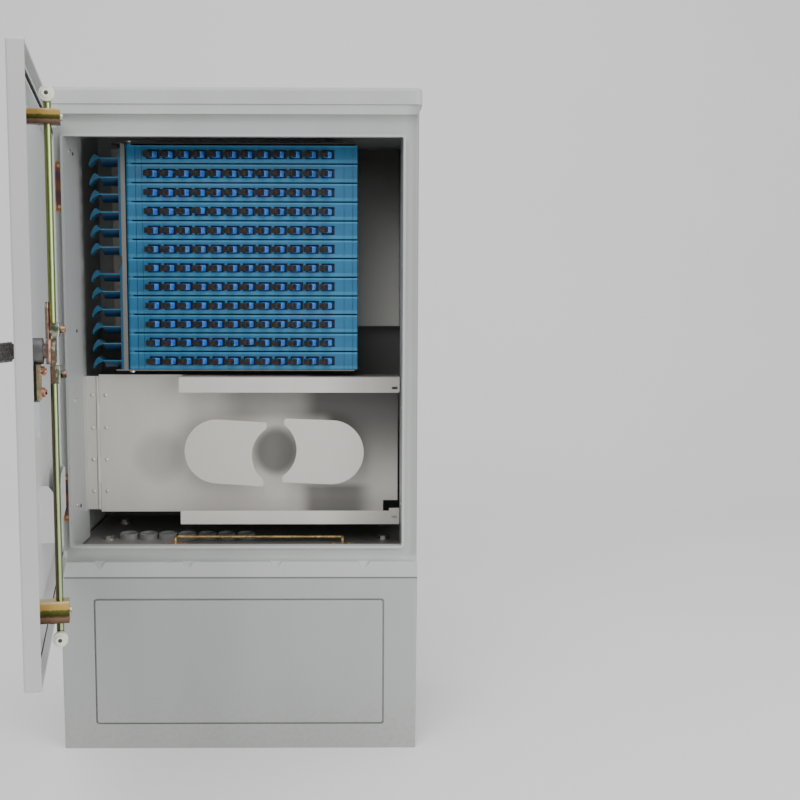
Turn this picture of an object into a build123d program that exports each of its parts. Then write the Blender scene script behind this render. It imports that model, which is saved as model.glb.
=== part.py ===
"""Roadside utility cabinet with an open door, splice trays and a swinging storage panel."""
import os
from math import cos, radians, sin, sqrt

from build123d import *

os.makedirs("parts", exist_ok=True)

# Driving sizes in millimetres
body_w = 562.0
body_d = 300.0
seam_z = 278.2
body_top = 1009.7
wall = 3.0
sheet = 2.0
roof_w = 570.0
roof_h = 25.3
roof_front_over = 2.0
roof_back_over = 6.0
plinth_foot_w = 559.1
plinth_head_w = 562.7
plinth_wall = 4.0
recess_d = 15.0
lip_front = 6.0
lip_w = 4.0
open_x0 = -262.0
open_x1 = 256.8
open_z0 = 327.7
open_z1 = 962.5
door_w = 559.0
door_z0 = 305.5
door_z1 = 989.0
door_front = -8.0
door_rim = 10.5
door_wall = 3.5
door_open_deg = 77.5
hinge_x = -276.0
hinge_d = 5.0
hinge_zs = (403.5, 887.5)
lock_x = 207.5
lock_z = 667.0
rod_d = 27.0
rod_r = 4.0
crank_r = 12.7
lever_tilt_deg = 40.0
tray_count = 12
tray_pitch = 30.0
tray_h = 28.0
tray_x0 = -184.5
tray_x1 = 187.0
tray_d0 = 84.0
tray_depth = 185.0
tray_z0 = 600.5
nose_r = 5.5
pivot_r = 3.0
panel_d = 110.0
panel_sheet = 1.5
floor_top = 312.0
jamb_back = 118.0
hinge_rim = 3.2
gland_pitch = 32.7
gland_count = 7
spool_l = 130.5
spool_h = 105.0
spool_x = 51.4
spool_z = 466.5
spool_gap = 29.9
spool_front = 72.0
spool_flange = 2.0
spool_inset = 12.0
hollow_r = 52.0
hollow_c = 30.6

# Clearances
slip = 0.05
gap = 0.1

# Positions worked out from the sizes
front = -body_d / 2
half_w = body_w / 2
door_x0 = -door_w / 2
door_x1 = door_w / 2
skin = door_front + door_wall
recess_back = recess_d + wall
lip_xl = open_x0 - lip_w / 2
lip_xr = open_x1 + lip_w / 2
lip_zb = open_z0 - lip_w / 2
lip_zt = open_z1 + lip_w / 2
pivot_x = tray_x0 + nose_r
pivot_d = tray_d0 + nose_r - 0.5
tray_top = tray_z0 + tray_pitch * tray_count
back_inner = body_d - 4.1
door_pose = Pos(hinge_x, front + hinge_d, 0) * Rot(0, 0, -door_open_deg) * Pos(-hinge_x, -front - hinge_d, 0)


# Helpers, with d the depth behind the fascia plane
def block(x0, x1, d0, d1, z0, z1, mode=Mode.ADD):
    """Box between two corners."""
    with Locations(((x0 + x1) / 2, front + (d0 + d1) / 2, (z0 + z1) / 2)):
        Box(x1 - x0, d1 - d0, z1 - z0, mode=mode)


def round_z(x, d, z0, z1, r, mode=Mode.ADD):
    """Upright cylinder."""
    with Locations((x, front + d, (z0 + z1) / 2)):
        Cylinder(r, z1 - z0, mode=mode)


def round_d(x, z, d0, d1, r, mode=Mode.ADD):
    """Cylinder along the depth."""
    with Locations((x, front + (d0 + d1) / 2, z)):
        Cylinder(r, d1 - d0, rotation=(90, 0, 0), mode=mode)


def round_x(d, z, x0, x1, r, mode=Mode.ADD):
    """Cylinder along the width."""
    with Locations(((x0 + x1) / 2, front + d, z)):
        Cylinder(r, x1 - x0, rotation=(0, 90, 0), mode=mode)


def plate(x0, x1, z0, z1, d0, d1, r, mode=Mode.ADD):
    """Plate facing the front with rounded corners."""
    with BuildSketch(Plane.XZ.offset(-front - d0)) as outline:
        with Locations(((x0 + x1) / 2, (z0 + z1) / 2)):
            RectangleRounded(x1 - x0, z1 - z0, r)
    extrude(outline.sketch, amount=d0 - d1, mode=mode)


def ring(x0, x1, z0, z1, d0, d1, out, inn, r, mode=Mode.ADD):
    """Ring facing the front, from inn inside a rectangle to out outside it."""
    with BuildSketch(Plane.XZ.offset(-front - d0)) as outline:
        with Locations(((x0 + x1) / 2, (z0 + z1) / 2)):
            RectangleRounded(x1 - x0 + 2 * out, z1 - z0 + 2 * out, r + out)
            RectangleRounded(x1 - x0 + 2 * inn, z1 - z0 + 2 * inn, r + inn, mode=Mode.SUBTRACT)
    extrude(outline.sketch, amount=d0 - d1, mode=mode)


def shape_xz(points, d0, d1, mode=Mode.ADD):
    """Polygon facing the front, given as x and z."""
    with BuildSketch(Plane.XZ.offset(-front - d0)) as outline:
        Polygon(*points, align=None)
    extrude(outline.sketch, amount=d0 - d1, mode=mode)


def folded(points, thick, radius, plane, length):
    """Bent sheet from the middle line of its section."""
    with BuildSketch(plane) as section:
        with BuildLine() as middle:
            FilletPolyline(*points, radius=radius)
        trace(middle.line, line_width=thick)
    extrude(section.sketch, amount=length)


# Plinth frame
with BuildPart() as plinth_frame:
    with BuildSketch(Plane.XZ.offset(-front)):
        Polygon(
            (-plinth_foot_w / 2, 0),
            (plinth_foot_w / 2, 0),
            (plinth_head_w / 2, seam_z),
            (-plinth_head_w / 2, seam_z),
            align=None,
        )
    extrude(amount=-body_d)
    fillet(plinth_frame.edges().filter_by(lambda e: abs(e.length - seam_z) < 0.3), 3)
    plinth_in = plinth_foot_w / 2 - plinth_wall
    block(-plinth_in, plinth_in, plinth_wall, body_d - plinth_wall, -1, seam_z - plinth_wall, Mode.SUBTRACT)
    block(-210, 210, 60, body_d - 60, seam_z - 6, seam_z + 1, Mode.SUBTRACT)
    plate(-229.1, 229.1, 39.5, 244.6, -1, plinth_wall + 0.5, 5, Mode.SUBTRACT)
    ring(-229.1, 229.1, 39.5, 244.6, plinth_wall, plinth_wall + 3, 8, -14, 20)
    for sx in (-1, 1):
        for d0 in (plinth_wall, body_d - plinth_wall - 50):
            block(min(sx * plinth_in, sx * (plinth_in - 56)), max(sx * plinth_in, sx * (plinth_in - 56)),
                  d0, d0 + 50, 0, 6)
        for sy in (-1, 1):
            round_z(sx * 255, body_d / 2 + sy * 125, -1, 7, 7, Mode.SUBTRACT)
            round_z(sx * 229, body_d / 2 + (-35 if sy < 0 else 85), seam_z - 6, seam_z + 1, 4.5, Mode.SUBTRACT)
plinth_frame.part.label = "plinth_frame"
export_step(plinth_frame.part, "parts/plinth_frame.step")

# Plinth panel
with BuildPart() as plinth_panel:
    plate(-226.6, 226.6, 42.0, 241.6, 0, plinth_wall, 4)
    fillet(plinth_panel.faces().sort_by(Axis.Y)[0].edges(), 0.8)
plinth_panel.part.label = "plinth_panel"
export_step(plinth_panel.part, "parts/plinth_panel.step")

# Front frame section, fascia and ledge with coves
cove_low = 8.0
cove_top = 10.0
ledge_z = door_z0 - 2.0
soffit_z = door_z1 + 6.0
low_c = (recess_d - cove_low, ledge_z + cove_low)
top_c = (recess_d - cove_top, soffit_z - cove_top)
c45 = sqrt(0.5)


def fy(d):
    """World y of a depth."""
    return front + d


with BuildPart() as front_frame:
    with BuildSketch(Plane.YZ.offset(-half_w)):
        with BuildLine():
            Polyline(
                (fy(low_c[0]), ledge_z),
                (fy(1.5), ledge_z),
                (fy(0), ledge_z - 1.5),
                (fy(0), seam_z),
                (fy(40), seam_z),
                (fy(40), seam_z + wall),
                (fy(wall), seam_z + wall),
                (fy(wall), ledge_z - wall),
                (fy(low_c[0]), ledge_z - wall),
            )
            ThreePointArc(
                (fy(low_c[0]), ledge_z - wall),
                (fy(low_c[0] + (cove_low + wall) * c45), low_c[1] - (cove_low + wall) * c45),
                (fy(recess_back), low_c[1]),
            )
            Line((fy(recess_back), low_c[1]), (fy(recess_back), top_c[1]))
            ThreePointArc(
                (fy(recess_back), top_c[1]),
                (fy(top_c[0] + (cove_top + wall) * c45), top_c[1] + (cove_top + wall) * c45),
                (fy(top_c[0]), soffit_z + wall),
            )
            Polyline(
                (fy(top_c[0]), soffit_z + wall),
                (fy(wall), soffit_z + wall),
                (fy(wall), body_top - wall),
                (fy(40), body_top - wall),
                (fy(40), body_top),
                (fy(0), body_top),
                (fy(0), soffit_z),
                (fy(top_c[0]), soffit_z),
            )
            ThreePointArc(
                (fy(top_c[0]), soffit_z),
                (fy(top_c[0] + cove_top * c45), top_c[1] + cove_top * c45),
                (fy(recess_d), top_c[1]),
            )
            Line((fy(recess_d), top_c[1]), (fy(recess_d), low_c[1]))
            ThreePointArc(
                (fy(recess_d), low_c[1]),
                (fy(low_c[0] + cove_low * c45), low_c[1] - cove_low * c45),
                (fy(low_c[0]), ledge_z),
            )
        make_face()
    extrude(amount=body_w)
    for x0 in (-half_w, half_w - wall):
        with BuildSketch(Plane.YZ.offset(x0)):
            with BuildLine():
                Polyline(
                    (fy(low_c[0]), ledge_z),
                    (fy(1.5), ledge_z),
                    (fy(0), ledge_z - 1.5),
                    (fy(0), seam_z),
                    (fy(45), seam_z),
                    (fy(45), body_top),
                    (fy(0), body_top),
                    (fy(0), soffit_z),
                    (fy(top_c[0]), soffit_z),
                )
                ThreePointArc(
                    (fy(top_c[0]), soffit_z),
                    (fy(top_c[0] + cove_top * c45), top_c[1] + cove_top * c45),
                    (fy(recess_d), top_c[1]),
                )
                Line((fy(recess_d), top_c[1]), (fy(recess_d), low_c[1]))
                ThreePointArc(
                    (fy(recess_d), low_c[1]),
                    (fy(low_c[0] + cove_low * c45), low_c[1] - cove_low * c45),
                    (fy(low_c[0]), ledge_z),
                )
            make_face()
        extrude(amount=wall)
    ring(open_x0, open_x1, open_z0, open_z1, lip_front, recess_back, lip_w, 0, 3)
    plate(open_x0, open_x1, open_z0, open_z1, lip_front - 1, recess_back + 1, 3, Mode.SUBTRACT)
    for x0 in (open_x0 - wall, open_x1):
        block(x0, x0 + wall, recess_back - 0.5, jamb_back, 316, 974)
    block(open_x1 - 1, open_x1 + wall + 1, recess_back, recess_back + 12, lock_z - 20, lock_z + 20, Mode.SUBTRACT)
    for x in (-218.0, -79.9, 58.3, 196.8):
        block(x - 12, x + 12, wall - 0.5, low_c[0] + wall, ledge_z - 14, ledge_z - wall + 0.5)
        with BuildSketch(Plane.XZ.offset(-front + 0.01)):
            Polygon((x - 10, ledge_z + 1), (x - 2.5, ledge_z - 10), (x + 2.5, ledge_z - 10), (x + 10, ledge_z + 1),
                    align=None)
        with BuildSketch(Plane.XZ.offset(-front - low_c[0])):
            Polygon((x - 10, ledge_z + 1), (x - 9, ledge_z - 0.1), (x + 9, ledge_z - 0.1), (x + 10, ledge_z + 1),
                    align=None)
        loft(mode=Mode.SUBTRACT)
    side_edges = front_frame.edges().filter_by(Axis.Z).filter_by(lambda e: e.length > 600)
    side_edges = side_edges.filter_by(lambda e: abs(abs(e.center().X) - half_w) < 0.01)
    fillet(side_edges.filter_by(lambda e: abs(e.center().Y - fy(recess_d)) < 0.01), 5)
front_frame.part.label = "front_frame"
export_step(front_frame.part, "parts/front_frame.step")

# Side panels, joggled in behind the front frame
for side, label in ((-1, "side_panel_left"), (1, "side_panel_right")):
    inner = half_w - wall - gap - sheet / 2
    outer = half_w - sheet / 2
    with BuildPart() as side_panel:
        folded(
            (
                (side * inner, fy(22)),
                (side * inner, fy(45.3 + sheet / 2)),
                (side * outer, fy(45.3 + sheet / 2)),
                (side * outer, fy(body_d - sheet / 2)),
                (side * (outer - 20), fy(body_d - sheet / 2)),
            ),
            sheet, 1.4, Plane.XY.offset(seam_z), body_top - seam_z,
        )
        block(-half_w, half_w, 0, 42, seam_z - 1, seam_z + wall + gap, Mode.SUBTRACT)
        block(-half_w, half_w, 0, 42, body_top - wall - gap, body_top + 1, Mode.SUBTRACT)
    side_panel.part.label = label
    export_step(side_panel.part, "parts/" + label + ".step")

# Back panel
with BuildPart() as back_panel:
    block(-half_w + sheet + 0.6, half_w - sheet - 0.6, back_inner, back_inner + sheet, seam_z, body_top)
back_panel.part.label = "back_panel"
export_step(back_panel.part, "parts/back_panel.step")

# Floor panel
gland_xs = [-197.0 + gland_pitch * i for i in range(gland_count)]
gland_d = 120.0
with BuildPart() as floor_panel:
    floor_half = half_w - wall - gap - sheet - 0.4
    folded(
        (
            (-floor_half + sheet / 2, seam_z),
            (-floor_half + sheet / 2, floor_top - sheet / 2),
            (floor_half - sheet / 2, floor_top - sheet / 2),
            (floor_half - sheet / 2, seam_z),
        ),
        sheet, 2.5, Plane.XZ.offset(-front - back_inner + 0.2), back_inner - 0.2 - recess_back - 0.3,
    )
    block(-half_w, half_w, 0, 40.3, seam_z - 1, floor_top - 6, Mode.SUBTRACT)
    for x in gland_xs:
        round_z(x, gland_d, floor_top - 5, floor_top + 1, 11, Mode.SUBTRACT)
    for x in (-229, 229):
        for d in (115, 235):
            round_z(x, d, floor_top - 5, floor_top + 1, 4.5, Mode.SUBTRACT)
floor_panel.part.label = "floor_panel"
export_step(floor_panel.part, "parts/floor_panel.step")

# Roof cap
with BuildPart() as roof_cap:
    block(-roof_w / 2, roof_w / 2, -roof_front_over, body_d + roof_back_over, body_top, body_top + roof_h)
    fillet(roof_cap.edges().filter_by(Axis.Z), 10)
    fillet(roof_cap.faces().sort_by(Axis.Z)[-1].edges(), 6)
    block(-roof_w / 2 + wall, roof_w / 2 - wall, wall - roof_front_over, body_d + roof_back_over - wall,
          body_top + sheet, body_top + roof_h - wall, Mode.SUBTRACT)
    block(-roof_w / 2 + 20, roof_w / 2 - 20, 16, body_d - 16, body_top - 1, body_top + sheet + 1, Mode.SUBTRACT)
roof_cap.part.label = "roof_cap"
export_step(roof_cap.part, "parts/roof_cap.step")

# Cable glands with closed membranes
with BuildPart() as cable_glands:
    with BuildSketch(Plane.XZ):
        Polygon(
            (0, -4.0), (9.5, -4.0), (9.5, -6.0), (10.9, -6.0), (12.4, -5.0), (12.4, -2.05), (10.9, -2.05),
            (10.9, 0.0), (15.4, 0.0), (15.4, 8.8), (14.7, 9.5), (13.6, 9.5), (13.2, 9.0), (12.6, 2.0), (9.5, -2.6),
            (0, -2.6),
            align=None,
        )
    revolve(axis=Axis.Z)
gland = cable_glands.part
with BuildPart() as cable_glands:
    with Locations([(x, front + gland_d, floor_top) for x in gland_xs]):
        add(gland)
cable_glands.part.label = "cable_glands"
export_step(cable_glands.part, "parts/cable_glands.step")

# Cable tie bar, a bent rod with flattened feet
with BuildPart() as cable_tie_bar:
    with BuildLine() as bar_path:
        FilletPolyline(
            (-112, fy(76), floor_top + 1), (-112, fy(76), floor_top + 10), (-112, fy(90), floor_top + 10),
            (162, fy(90), floor_top + 10), (162, fy(76), floor_top + 10), (162, fy(76), floor_top + 1),
            radius=3,
        )
    with BuildSketch(Plane.XY.offset(floor_top + 1)):
        with Locations((-112, fy(76))):
            Circle(2.25)
    sweep()
    for x in (-112, 162):
        block(x - 17, x + 20, 71, 81, floor_top, floor_top + 2.4)
        round_z(x + 12, 76, floor_top - 1, floor_top + 3, 2.6, Mode.SUBTRACT)
        round_z(x - 10, 76, floor_top - 1, floor_top + 3, 2.6, Mode.SUBTRACT)
cable_tie_bar.part.label = "cable_tie_bar"
export_step(cable_tie_bar.part, "parts/cable_tie_bar.step")

# Tray frame, a folded box open to the front and the right
frame_back = tray_d0 + tray_depth + 2.0
frame_z0 = tray_z0 - 0.5
frame_z1 = tray_top + 0.5
column_x = tray_x0 - 7.5
with BuildPart() as tray_frame:
    block(column_x - 14, tray_x1 - 4, tray_d0, frame_back + sheet, frame_z0 - sheet, frame_z0)
    block(column_x - 14, tray_x1 - 4, tray_d0, frame_back + sheet, frame_z1, frame_z1 + sheet)
    fillet(tray_frame.edges().filter_by(Axis.Z).filter_by(lambda e: e.center().Y < 0), 4)
    block(column_x, column_x + sheet, tray_d0, frame_back + sheet, frame_z0, frame_z1)
    block(column_x, tray_x0 - 0.5, tray_d0, tray_d0 + sheet, frame_z0, frame_z1)
    block(column_x, tray_x1 - 4, frame_back, frame_back + sheet, frame_z0, frame_z1)
    round_z(pivot_x, pivot_d, frame_z0 - 5, frame_z1 + 5, pivot_r + slip, Mode.SUBTRACT)
tray_frame.part.label = "tray_frame"
export_step(tray_frame.part, "parts/tray_frame.step")

# Tray pivot rod
with BuildPart() as tray_pivot_rod:
    round_z(pivot_x, pivot_d, frame_z0 - sheet - 3, frame_z1 + sheet + 2.5, pivot_r)
    round_z(pivot_x, pivot_d, frame_z1 + sheet, frame_z1 + sheet + 2.5, 5)
    round_z(pivot_x, pivot_d, frame_z0 - sheet - 2, frame_z0 - sheet, 4.6)
tray_pivot_rod.part.label = "tray_pivot_rod"
export_step(tray_pivot_rod.part, "parts/tray_pivot_rod.step")

# Trays, one shape at twelve heights
port_xs = [-139.6 + 25.35 * i for i in range(12)]
port_z = 13.3
with BuildPart() as tray:
    with BuildSketch(Plane.XY):
        with BuildLine():
            Polyline(
                (pivot_x, fy(pivot_d - nose_r)), (tray_x1, fy(pivot_d - nose_r)), (tray_x1, fy(tray_d0 + tray_depth)),
                (tray_x0, fy(tray_d0 + tray_depth)), (tray_x0, fy(pivot_d)),
            )
            ThreePointArc(
                (tray_x0, fy(pivot_d)),
                (pivot_x - nose_r * c45, fy(pivot_d - nose_r * c45)),
                (pivot_x, fy(pivot_d - nose_r)),
            )
        make_face()
    extrude(amount=tray_h)
    fillet(tray.edges().filter_by(Axis.Z).filter_by(lambda e: e.center().X > 0), 3)
    fillet(tray.edges().filter_by(Axis.Z).filter_by(lambda e: e.center().Y > 0 and e.center().X < 0), 3)
    for x in port_xs:
        block(x - 10.5, x + 10.5, tray_d0 - 2, tray_d0 + 8, 6.8, 21.2, Mode.SUBTRACT)
    for x in (-168.0, 179.0):
        block(x - 0.6, x + 0.6, tray_d0 - 2, tray_d0 + 1, -1, tray_h + 1, Mode.SUBTRACT)
    for x in (-158.0, 165.0):
        block(x - 0.4, x + 0.4, tray_d0 - 2, tray_d0 + 0.8, -1, tray_h + 1, Mode.SUBTRACT)
    round_z(pivot_x, pivot_d, -0.3, tray_h + 1.5, nose_r - 0.3)
    round_z(pivot_x, pivot_d, -1, tray_h + 3, pivot_r + slip, Mode.SUBTRACT)
for number in range(1, tray_count + 1):
    lift = tray_z0 + tray_pitch * (tray_count - number)
    piece = Pos(0, 0, lift) * tray.part
    piece.label = f"tray_{number:02d}"
    export_step(piece, f"parts/tray_{number:02d}.step")

# Adapter rows with dust caps, each adapter leaning to the left
lean = 30.0
lifted = {4: 4, 5: 12, 11: 7}
for number in range(1, tray_count + 1):
    lift = tray_z0 + tray_pitch * (tray_count - number)
    with BuildPart() as adapters:
        for column, x in enumerate(port_xs, start=1):
            z = lift + port_z + (1.6 if lifted.get(number) == column else 0.0)
            block(x - 6, x + 6, tray_d0 + 1, tray_d0 + 7.9, z - 4.5, z + 4.5)
            reach = 5.7
            with Locations(Location((x - reach * sin(radians(lean)), fy(tray_d0 - reach * cos(radians(lean))), z),
                                    (0, 0, -lean))):
                Box(12.8, 17.4, 10.5)
            reach = 17.0
            with Locations(Location((x - reach * sin(radians(lean)), fy(tray_d0 - reach * cos(radians(lean))), z),
                                    (0, 0, -lean))):
                Box(10.0, 5.2, 9.2)
    adapters.part.label = f"adapters_{number:02d}"
    export_step(adapters.part, f"parts/adapters_{number:02d}.step")

# Fibre guides with fishtail fins
fin_zs = (939.0, 908.8, 882.0, 853.8, 826.4, 798.0, 755.0, 727.0, 698.0, 670.5, 643.0, 615.0)
with BuildPart() as fibre_guides:
    guide_x = column_x - 4.0
    block(guide_x, column_x, tray_d0, tray_d0 + 22, 783, 953)
    block(guide_x, column_x, tray_d0, tray_d0 + 22, frame_z0, 768)
    block(guide_x + 2, column_x, tray_d0 + 4, tray_d0 + 18, 767, 784)
    for z in fin_zs:
        with BuildSketch(Plane.XZ.offset(-front - tray_d0)):
            with BuildLine():
                Polyline((guide_x + 0.5, z - 1.5), (guide_x + 0.5, z), (guide_x - 29, z), (guide_x - 37, z + 6))
                ThreePointArc((guide_x - 37, z + 6), (guide_x - 44, z - 3.5), (guide_x - 45.7, z - 14))
                ThreePointArc((guide_x - 45.7, z - 14), (guide_x - 37.5, z - 5), (guide_x - 27, z - 1.5))
                Line((guide_x - 27, z - 1.5), (guide_x + 0.5, z - 1.5))
            make_face()
        extrude(amount=-22)
        with BuildSketch(Plane.YZ.offset(guide_x - 28)):
            with BuildLine():
                Polyline((fy(tray_d0 + 1), z - 1), (fy(tray_d0 + 22), z - 1), (fy(tray_d0 + 22), z - 13))
                ThreePointArc((fy(tray_d0 + 22), z - 13), (fy(tray_d0 + 9), z - 9.4), (fy(tray_d0 + 1), z - 1))
            make_face()
        extrude(amount=28.5)
fibre_guides.part.label = "fibre_guides"
export_step(fibre_guides.part, "parts/fibre_guides.step")

# Mounting plate behind the trays
with BuildPart() as mounting_plate:
    plate_d = frame_back + sheet + sheet / 2
    folded(
        ((-249, fy(back_inner)), (-249, fy(plate_d)), (262, fy(plate_d)), (262, fy(back_inner))),
        sheet, 3, Plane.XY.offset(663), 312,
    )
    for z in (700, 820, 940):
        round_d(-215, z, plate_d - 3, plate_d + 3, 3.2, Mode.SUBTRACT)
mounting_plate.part.label = "mounting_plate"
export_step(mounting_plate.part, "parts/mounting_plate.step")



def spool_half(side, turn, inset, d0, d1):
    """Half of the fibre spool, with a round outer end and a hollow inner end."""
    middle = spool_x + side * (spool_gap + spool_l) / 2
    lean = (cos(radians(turn)), 0, sin(radians(turn)))
    with BuildSketch(Plane(origin=(middle, fy(d0), spool_z), x_dir=lean, z_dir=(0, -1, 0))) as outline:
        with Locations((side * (inset - spool_h / 2) / 2, 0)):
            Rectangle(spool_l - spool_h / 2 - inset, spool_h - 2 * inset)
        with Locations((side * (spool_l - spool_h) / 2, 0)):
            Circle(spool_h / 2 - inset)
        with Locations((-side * (spool_l / 2 + hollow_c), 0)):
            Circle(hollow_r + inset, mode=Mode.SUBTRACT)
        tips = outline.vertices().filter_by(lambda v: v.X * side < inset + 0.5 - spool_l / 2)
        fillet(tips, 3)
    extrude(outline.sketch, amount=d0 - d1)


# Storage panel, a folded sheet with a fibre spool in two halves and hinge knuckles
panel_top = 589.5
knuckle_x = -242.75
knuckle_d = panel_d + panel_sheet / 2
knuckle_r = 2.4
panel_pin_r = 1.2
leaf_z0 = 364.0
leaf_z1 = 587.0
knuckle_h = (leaf_z1 - leaf_z0) / 5
with BuildPart() as storage_panel:
    block(knuckle_x + 2.85, 253.5, panel_d, panel_d + panel_sheet, 360, panel_top)
    block(-100, 254.4, panel_d, panel_d + panel_sheet, 350, 362)
    block(-100, 254.4, 60, panel_d + panel_sheet, panel_top - panel_sheet, panel_top)
    block(-100, 254.4, 60, panel_d + panel_sheet, 350, 350 + panel_sheet)
    plate(-100, 254.4, 565, panel_top, 60, 60 + panel_sheet, 3)
    block(-100, 254.4, 60, 60 + panel_sheet, 575, panel_top)
    plate(-100, 254.4, 350, 372, 60, 60 + panel_sheet, 3)
    block(-100, 254.4, 60, 60 + panel_sheet, 350, 360)
    block(238, 254.4, 60, 60 + panel_sheet, 365, 376.5)
    for z in (361.8, 572.5):
        plate(241.8, 251.4, z - 2.1, z + 2.1, 59, 63, 2, Mode.SUBTRACT)
    for side, turn in ((-1, -3.6), (1, -2.2)):
        spool_half(side, turn, 0, spool_front, spool_front + spool_flange)
        spool_half(side, turn, spool_inset, spool_front + 1, panel_d + 0.5)
    block(229.5, 255, panel_d - 1, panel_d + 3, 352, 379.3, Mode.SUBTRACT)
    for i in (1, 3):
        z0 = leaf_z0 + i * knuckle_h + 0.3
        z1 = z0 + knuckle_h - 0.6
        block(knuckle_x, knuckle_x + 3.5, panel_d, panel_d + panel_sheet, z0, z1)
        round_z(knuckle_x, knuckle_d, z0, z1, knuckle_r)
    round_z(knuckle_x, knuckle_d, 300, 620, panel_pin_r + slip, Mode.SUBTRACT)
storage_panel.part.label = "storage_panel"
export_step(storage_panel.part, "parts/storage_panel.step")

# Hinge leaf of the storage panel, on the left jamb, with its pin
with BuildPart() as panel_hinge_leaf:
    block(open_x0, knuckle_x - 2.85, panel_d, panel_d + panel_sheet, leaf_z0, leaf_z1)
    block(open_x0, open_x0 + panel_sheet, panel_d - 14, panel_d + panel_sheet, leaf_z0, leaf_z1)
    for i in (0, 2, 4):
        z0 = leaf_z0 + i * knuckle_h
        block(knuckle_x - 3.5, knuckle_x, panel_d, panel_d + panel_sheet, z0, z0 + knuckle_h)
        round_z(knuckle_x, knuckle_d, z0, z0 + knuckle_h, knuckle_r)
    round_z(knuckle_x, knuckle_d, leaf_z0, leaf_z1, panel_pin_r)
panel_hinge_leaf.part.label = "panel_hinge_leaf"
export_step(panel_hinge_leaf.part, "parts/panel_hinge_leaf.step")

# Door hinge leaves on the frame, with pins
barrel_r = 3.2
pin_r = 1.5
with BuildPart() as frame_hinge_leaves:
    for z in hinge_zs:
        block(hinge_x - 3, hinge_x + 9.2, recess_d - 2, recess_d, z - 37, z + 37)
        for z0 in (z - 36.3, z + 24.3):
            block(hinge_x - 1, hinge_x + 1, hinge_d, recess_d - 1, z0, z0 + 12)
            round_z(hinge_x, hinge_d, z0, z0 + 12, barrel_r)
        round_z(hinge_x, hinge_d, z - 36.3, z + 36.3, pin_r)
frame_hinge_leaves.part.label = "frame_hinge_leaves"
export_step(frame_hinge_leaves.part, "parts/frame_hinge_leaves.step")

# Screws of the frame
with BuildPart() as frame_screws:
    for z in hinge_zs:
        for dz in (-31, 31):
            round_d(hinge_x + 5.4, z + dz, recess_d - 3.6, recess_d - 2, 2.6)
    for x in (-229, 229):
        for d in (115, 235):
            round_z(x, d, floor_top, floor_top + 1.6, 9)
            with BuildSketch(Plane.XY.offset(floor_top + 1.6)) as hexagon:
                with Locations((x, fy(d))):
                    RegularPolygon(7.5, 6)
            extrude(hexagon.sketch, amount=5.5)
            round_z(x, d, floor_top - 3, floor_top + 1, 4)
    for z in (700, 820, 940):
        round_d(-215, z, plate_d - 3.2, plate_d - 1, 5)
        round_d(-215, z, plate_d - 2, plate_d + 2, 3)
frame_screws.part.label = "frame_screws"
export_step(frame_screws.part, "parts/frame_screws.step")

# Door shell in its closed place
gasket_half = 5.0
ridge_t = 2.5
with BuildPart() as door_shell:
    block(door_x0, door_x1, door_front, door_rim, door_z0, door_z1)
    fillet(door_shell.edges().filter_by(Axis.Y), 3.5)
    fillet(door_shell.faces().sort_by(Axis.Y)[0].edges(), 3)
    block(door_x0 + door_wall, door_x1 - door_wall, skin, door_rim + 1,
          door_z0 + door_wall, door_z1 - door_wall, Mode.SUBTRACT)
    ridge_top = lip_front + 0.5
    ring(lip_xl, lip_xr, lip_zb, lip_zt, skin, ridge_top, gasket_half + gap + ridge_t, gasket_half + gap, 5)
    ring(lip_xl, lip_xr, lip_zb, lip_zt, skin, ridge_top, -gasket_half - gap, -gasket_half - gap - ridge_t, 10)
    ring(-251.8, 250.0, 341.0, 958.3, door_front - 1, door_front + 0.7, 1.2, -1.2, 4, Mode.SUBTRACT)
    ring(-44.4, 45.3, 358.0, 405.0, door_front - 1, door_front + 0.7, 1, -1, 3, Mode.SUBTRACT)
    block(door_x0 - 1, door_x0 + door_wall + 0.01, hinge_rim, door_rim + 1, door_z0 + 14, door_z1 - 14, Mode.SUBTRACT)
    for z in hinge_zs:
        block(door_x0 - 1, hinge_x + 1, hinge_d - 4.5, door_rim + 1, z - 37.5, z + 37.5, Mode.SUBTRACT)
    plate(lock_x - 13.2, lock_x + 13.2, 570.8, 684.2, door_front - 1, skin + 1, 6, Mode.SUBTRACT)
piece = door_pose * door_shell.part
piece.label = "door_shell"
export_step(piece, "parts/door_shell.step")

# Door gasket
with BuildPart() as door_gasket:
    ring(lip_xl, lip_xr, lip_zb, lip_zt, skin, lip_front - 0.3, gasket_half, -gasket_half, 8)
    ring(lip_xl, lip_xr, lip_zb, lip_zt, lip_front - 1.8, lip_front, 1.4, -1.4, 6, Mode.SUBTRACT)
piece = door_pose * door_gasket.part
piece.label = "door_gasket"
export_step(piece, "parts/door_gasket.step")

# Door hinge leaves
with BuildPart() as door_hinge_leaves:
    for z in hinge_zs:
        block(hinge_x, hinge_x + 2, skin, hinge_d - 4.6, z - 36, z + 36)
        block(hinge_x, hinge_x + 2, skin, hinge_d, z - 24, z + 24)
        round_z(hinge_x, hinge_d, z - 24, z + 24, barrel_r)
        round_z(hinge_x, hinge_d, z - 30, z + 30, pin_r + slip, Mode.SUBTRACT)
piece = door_pose * door_hinge_leaves.part
piece.label = "door_hinge_leaves"
export_step(piece, "parts/door_hinge_leaves.step")

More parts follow.
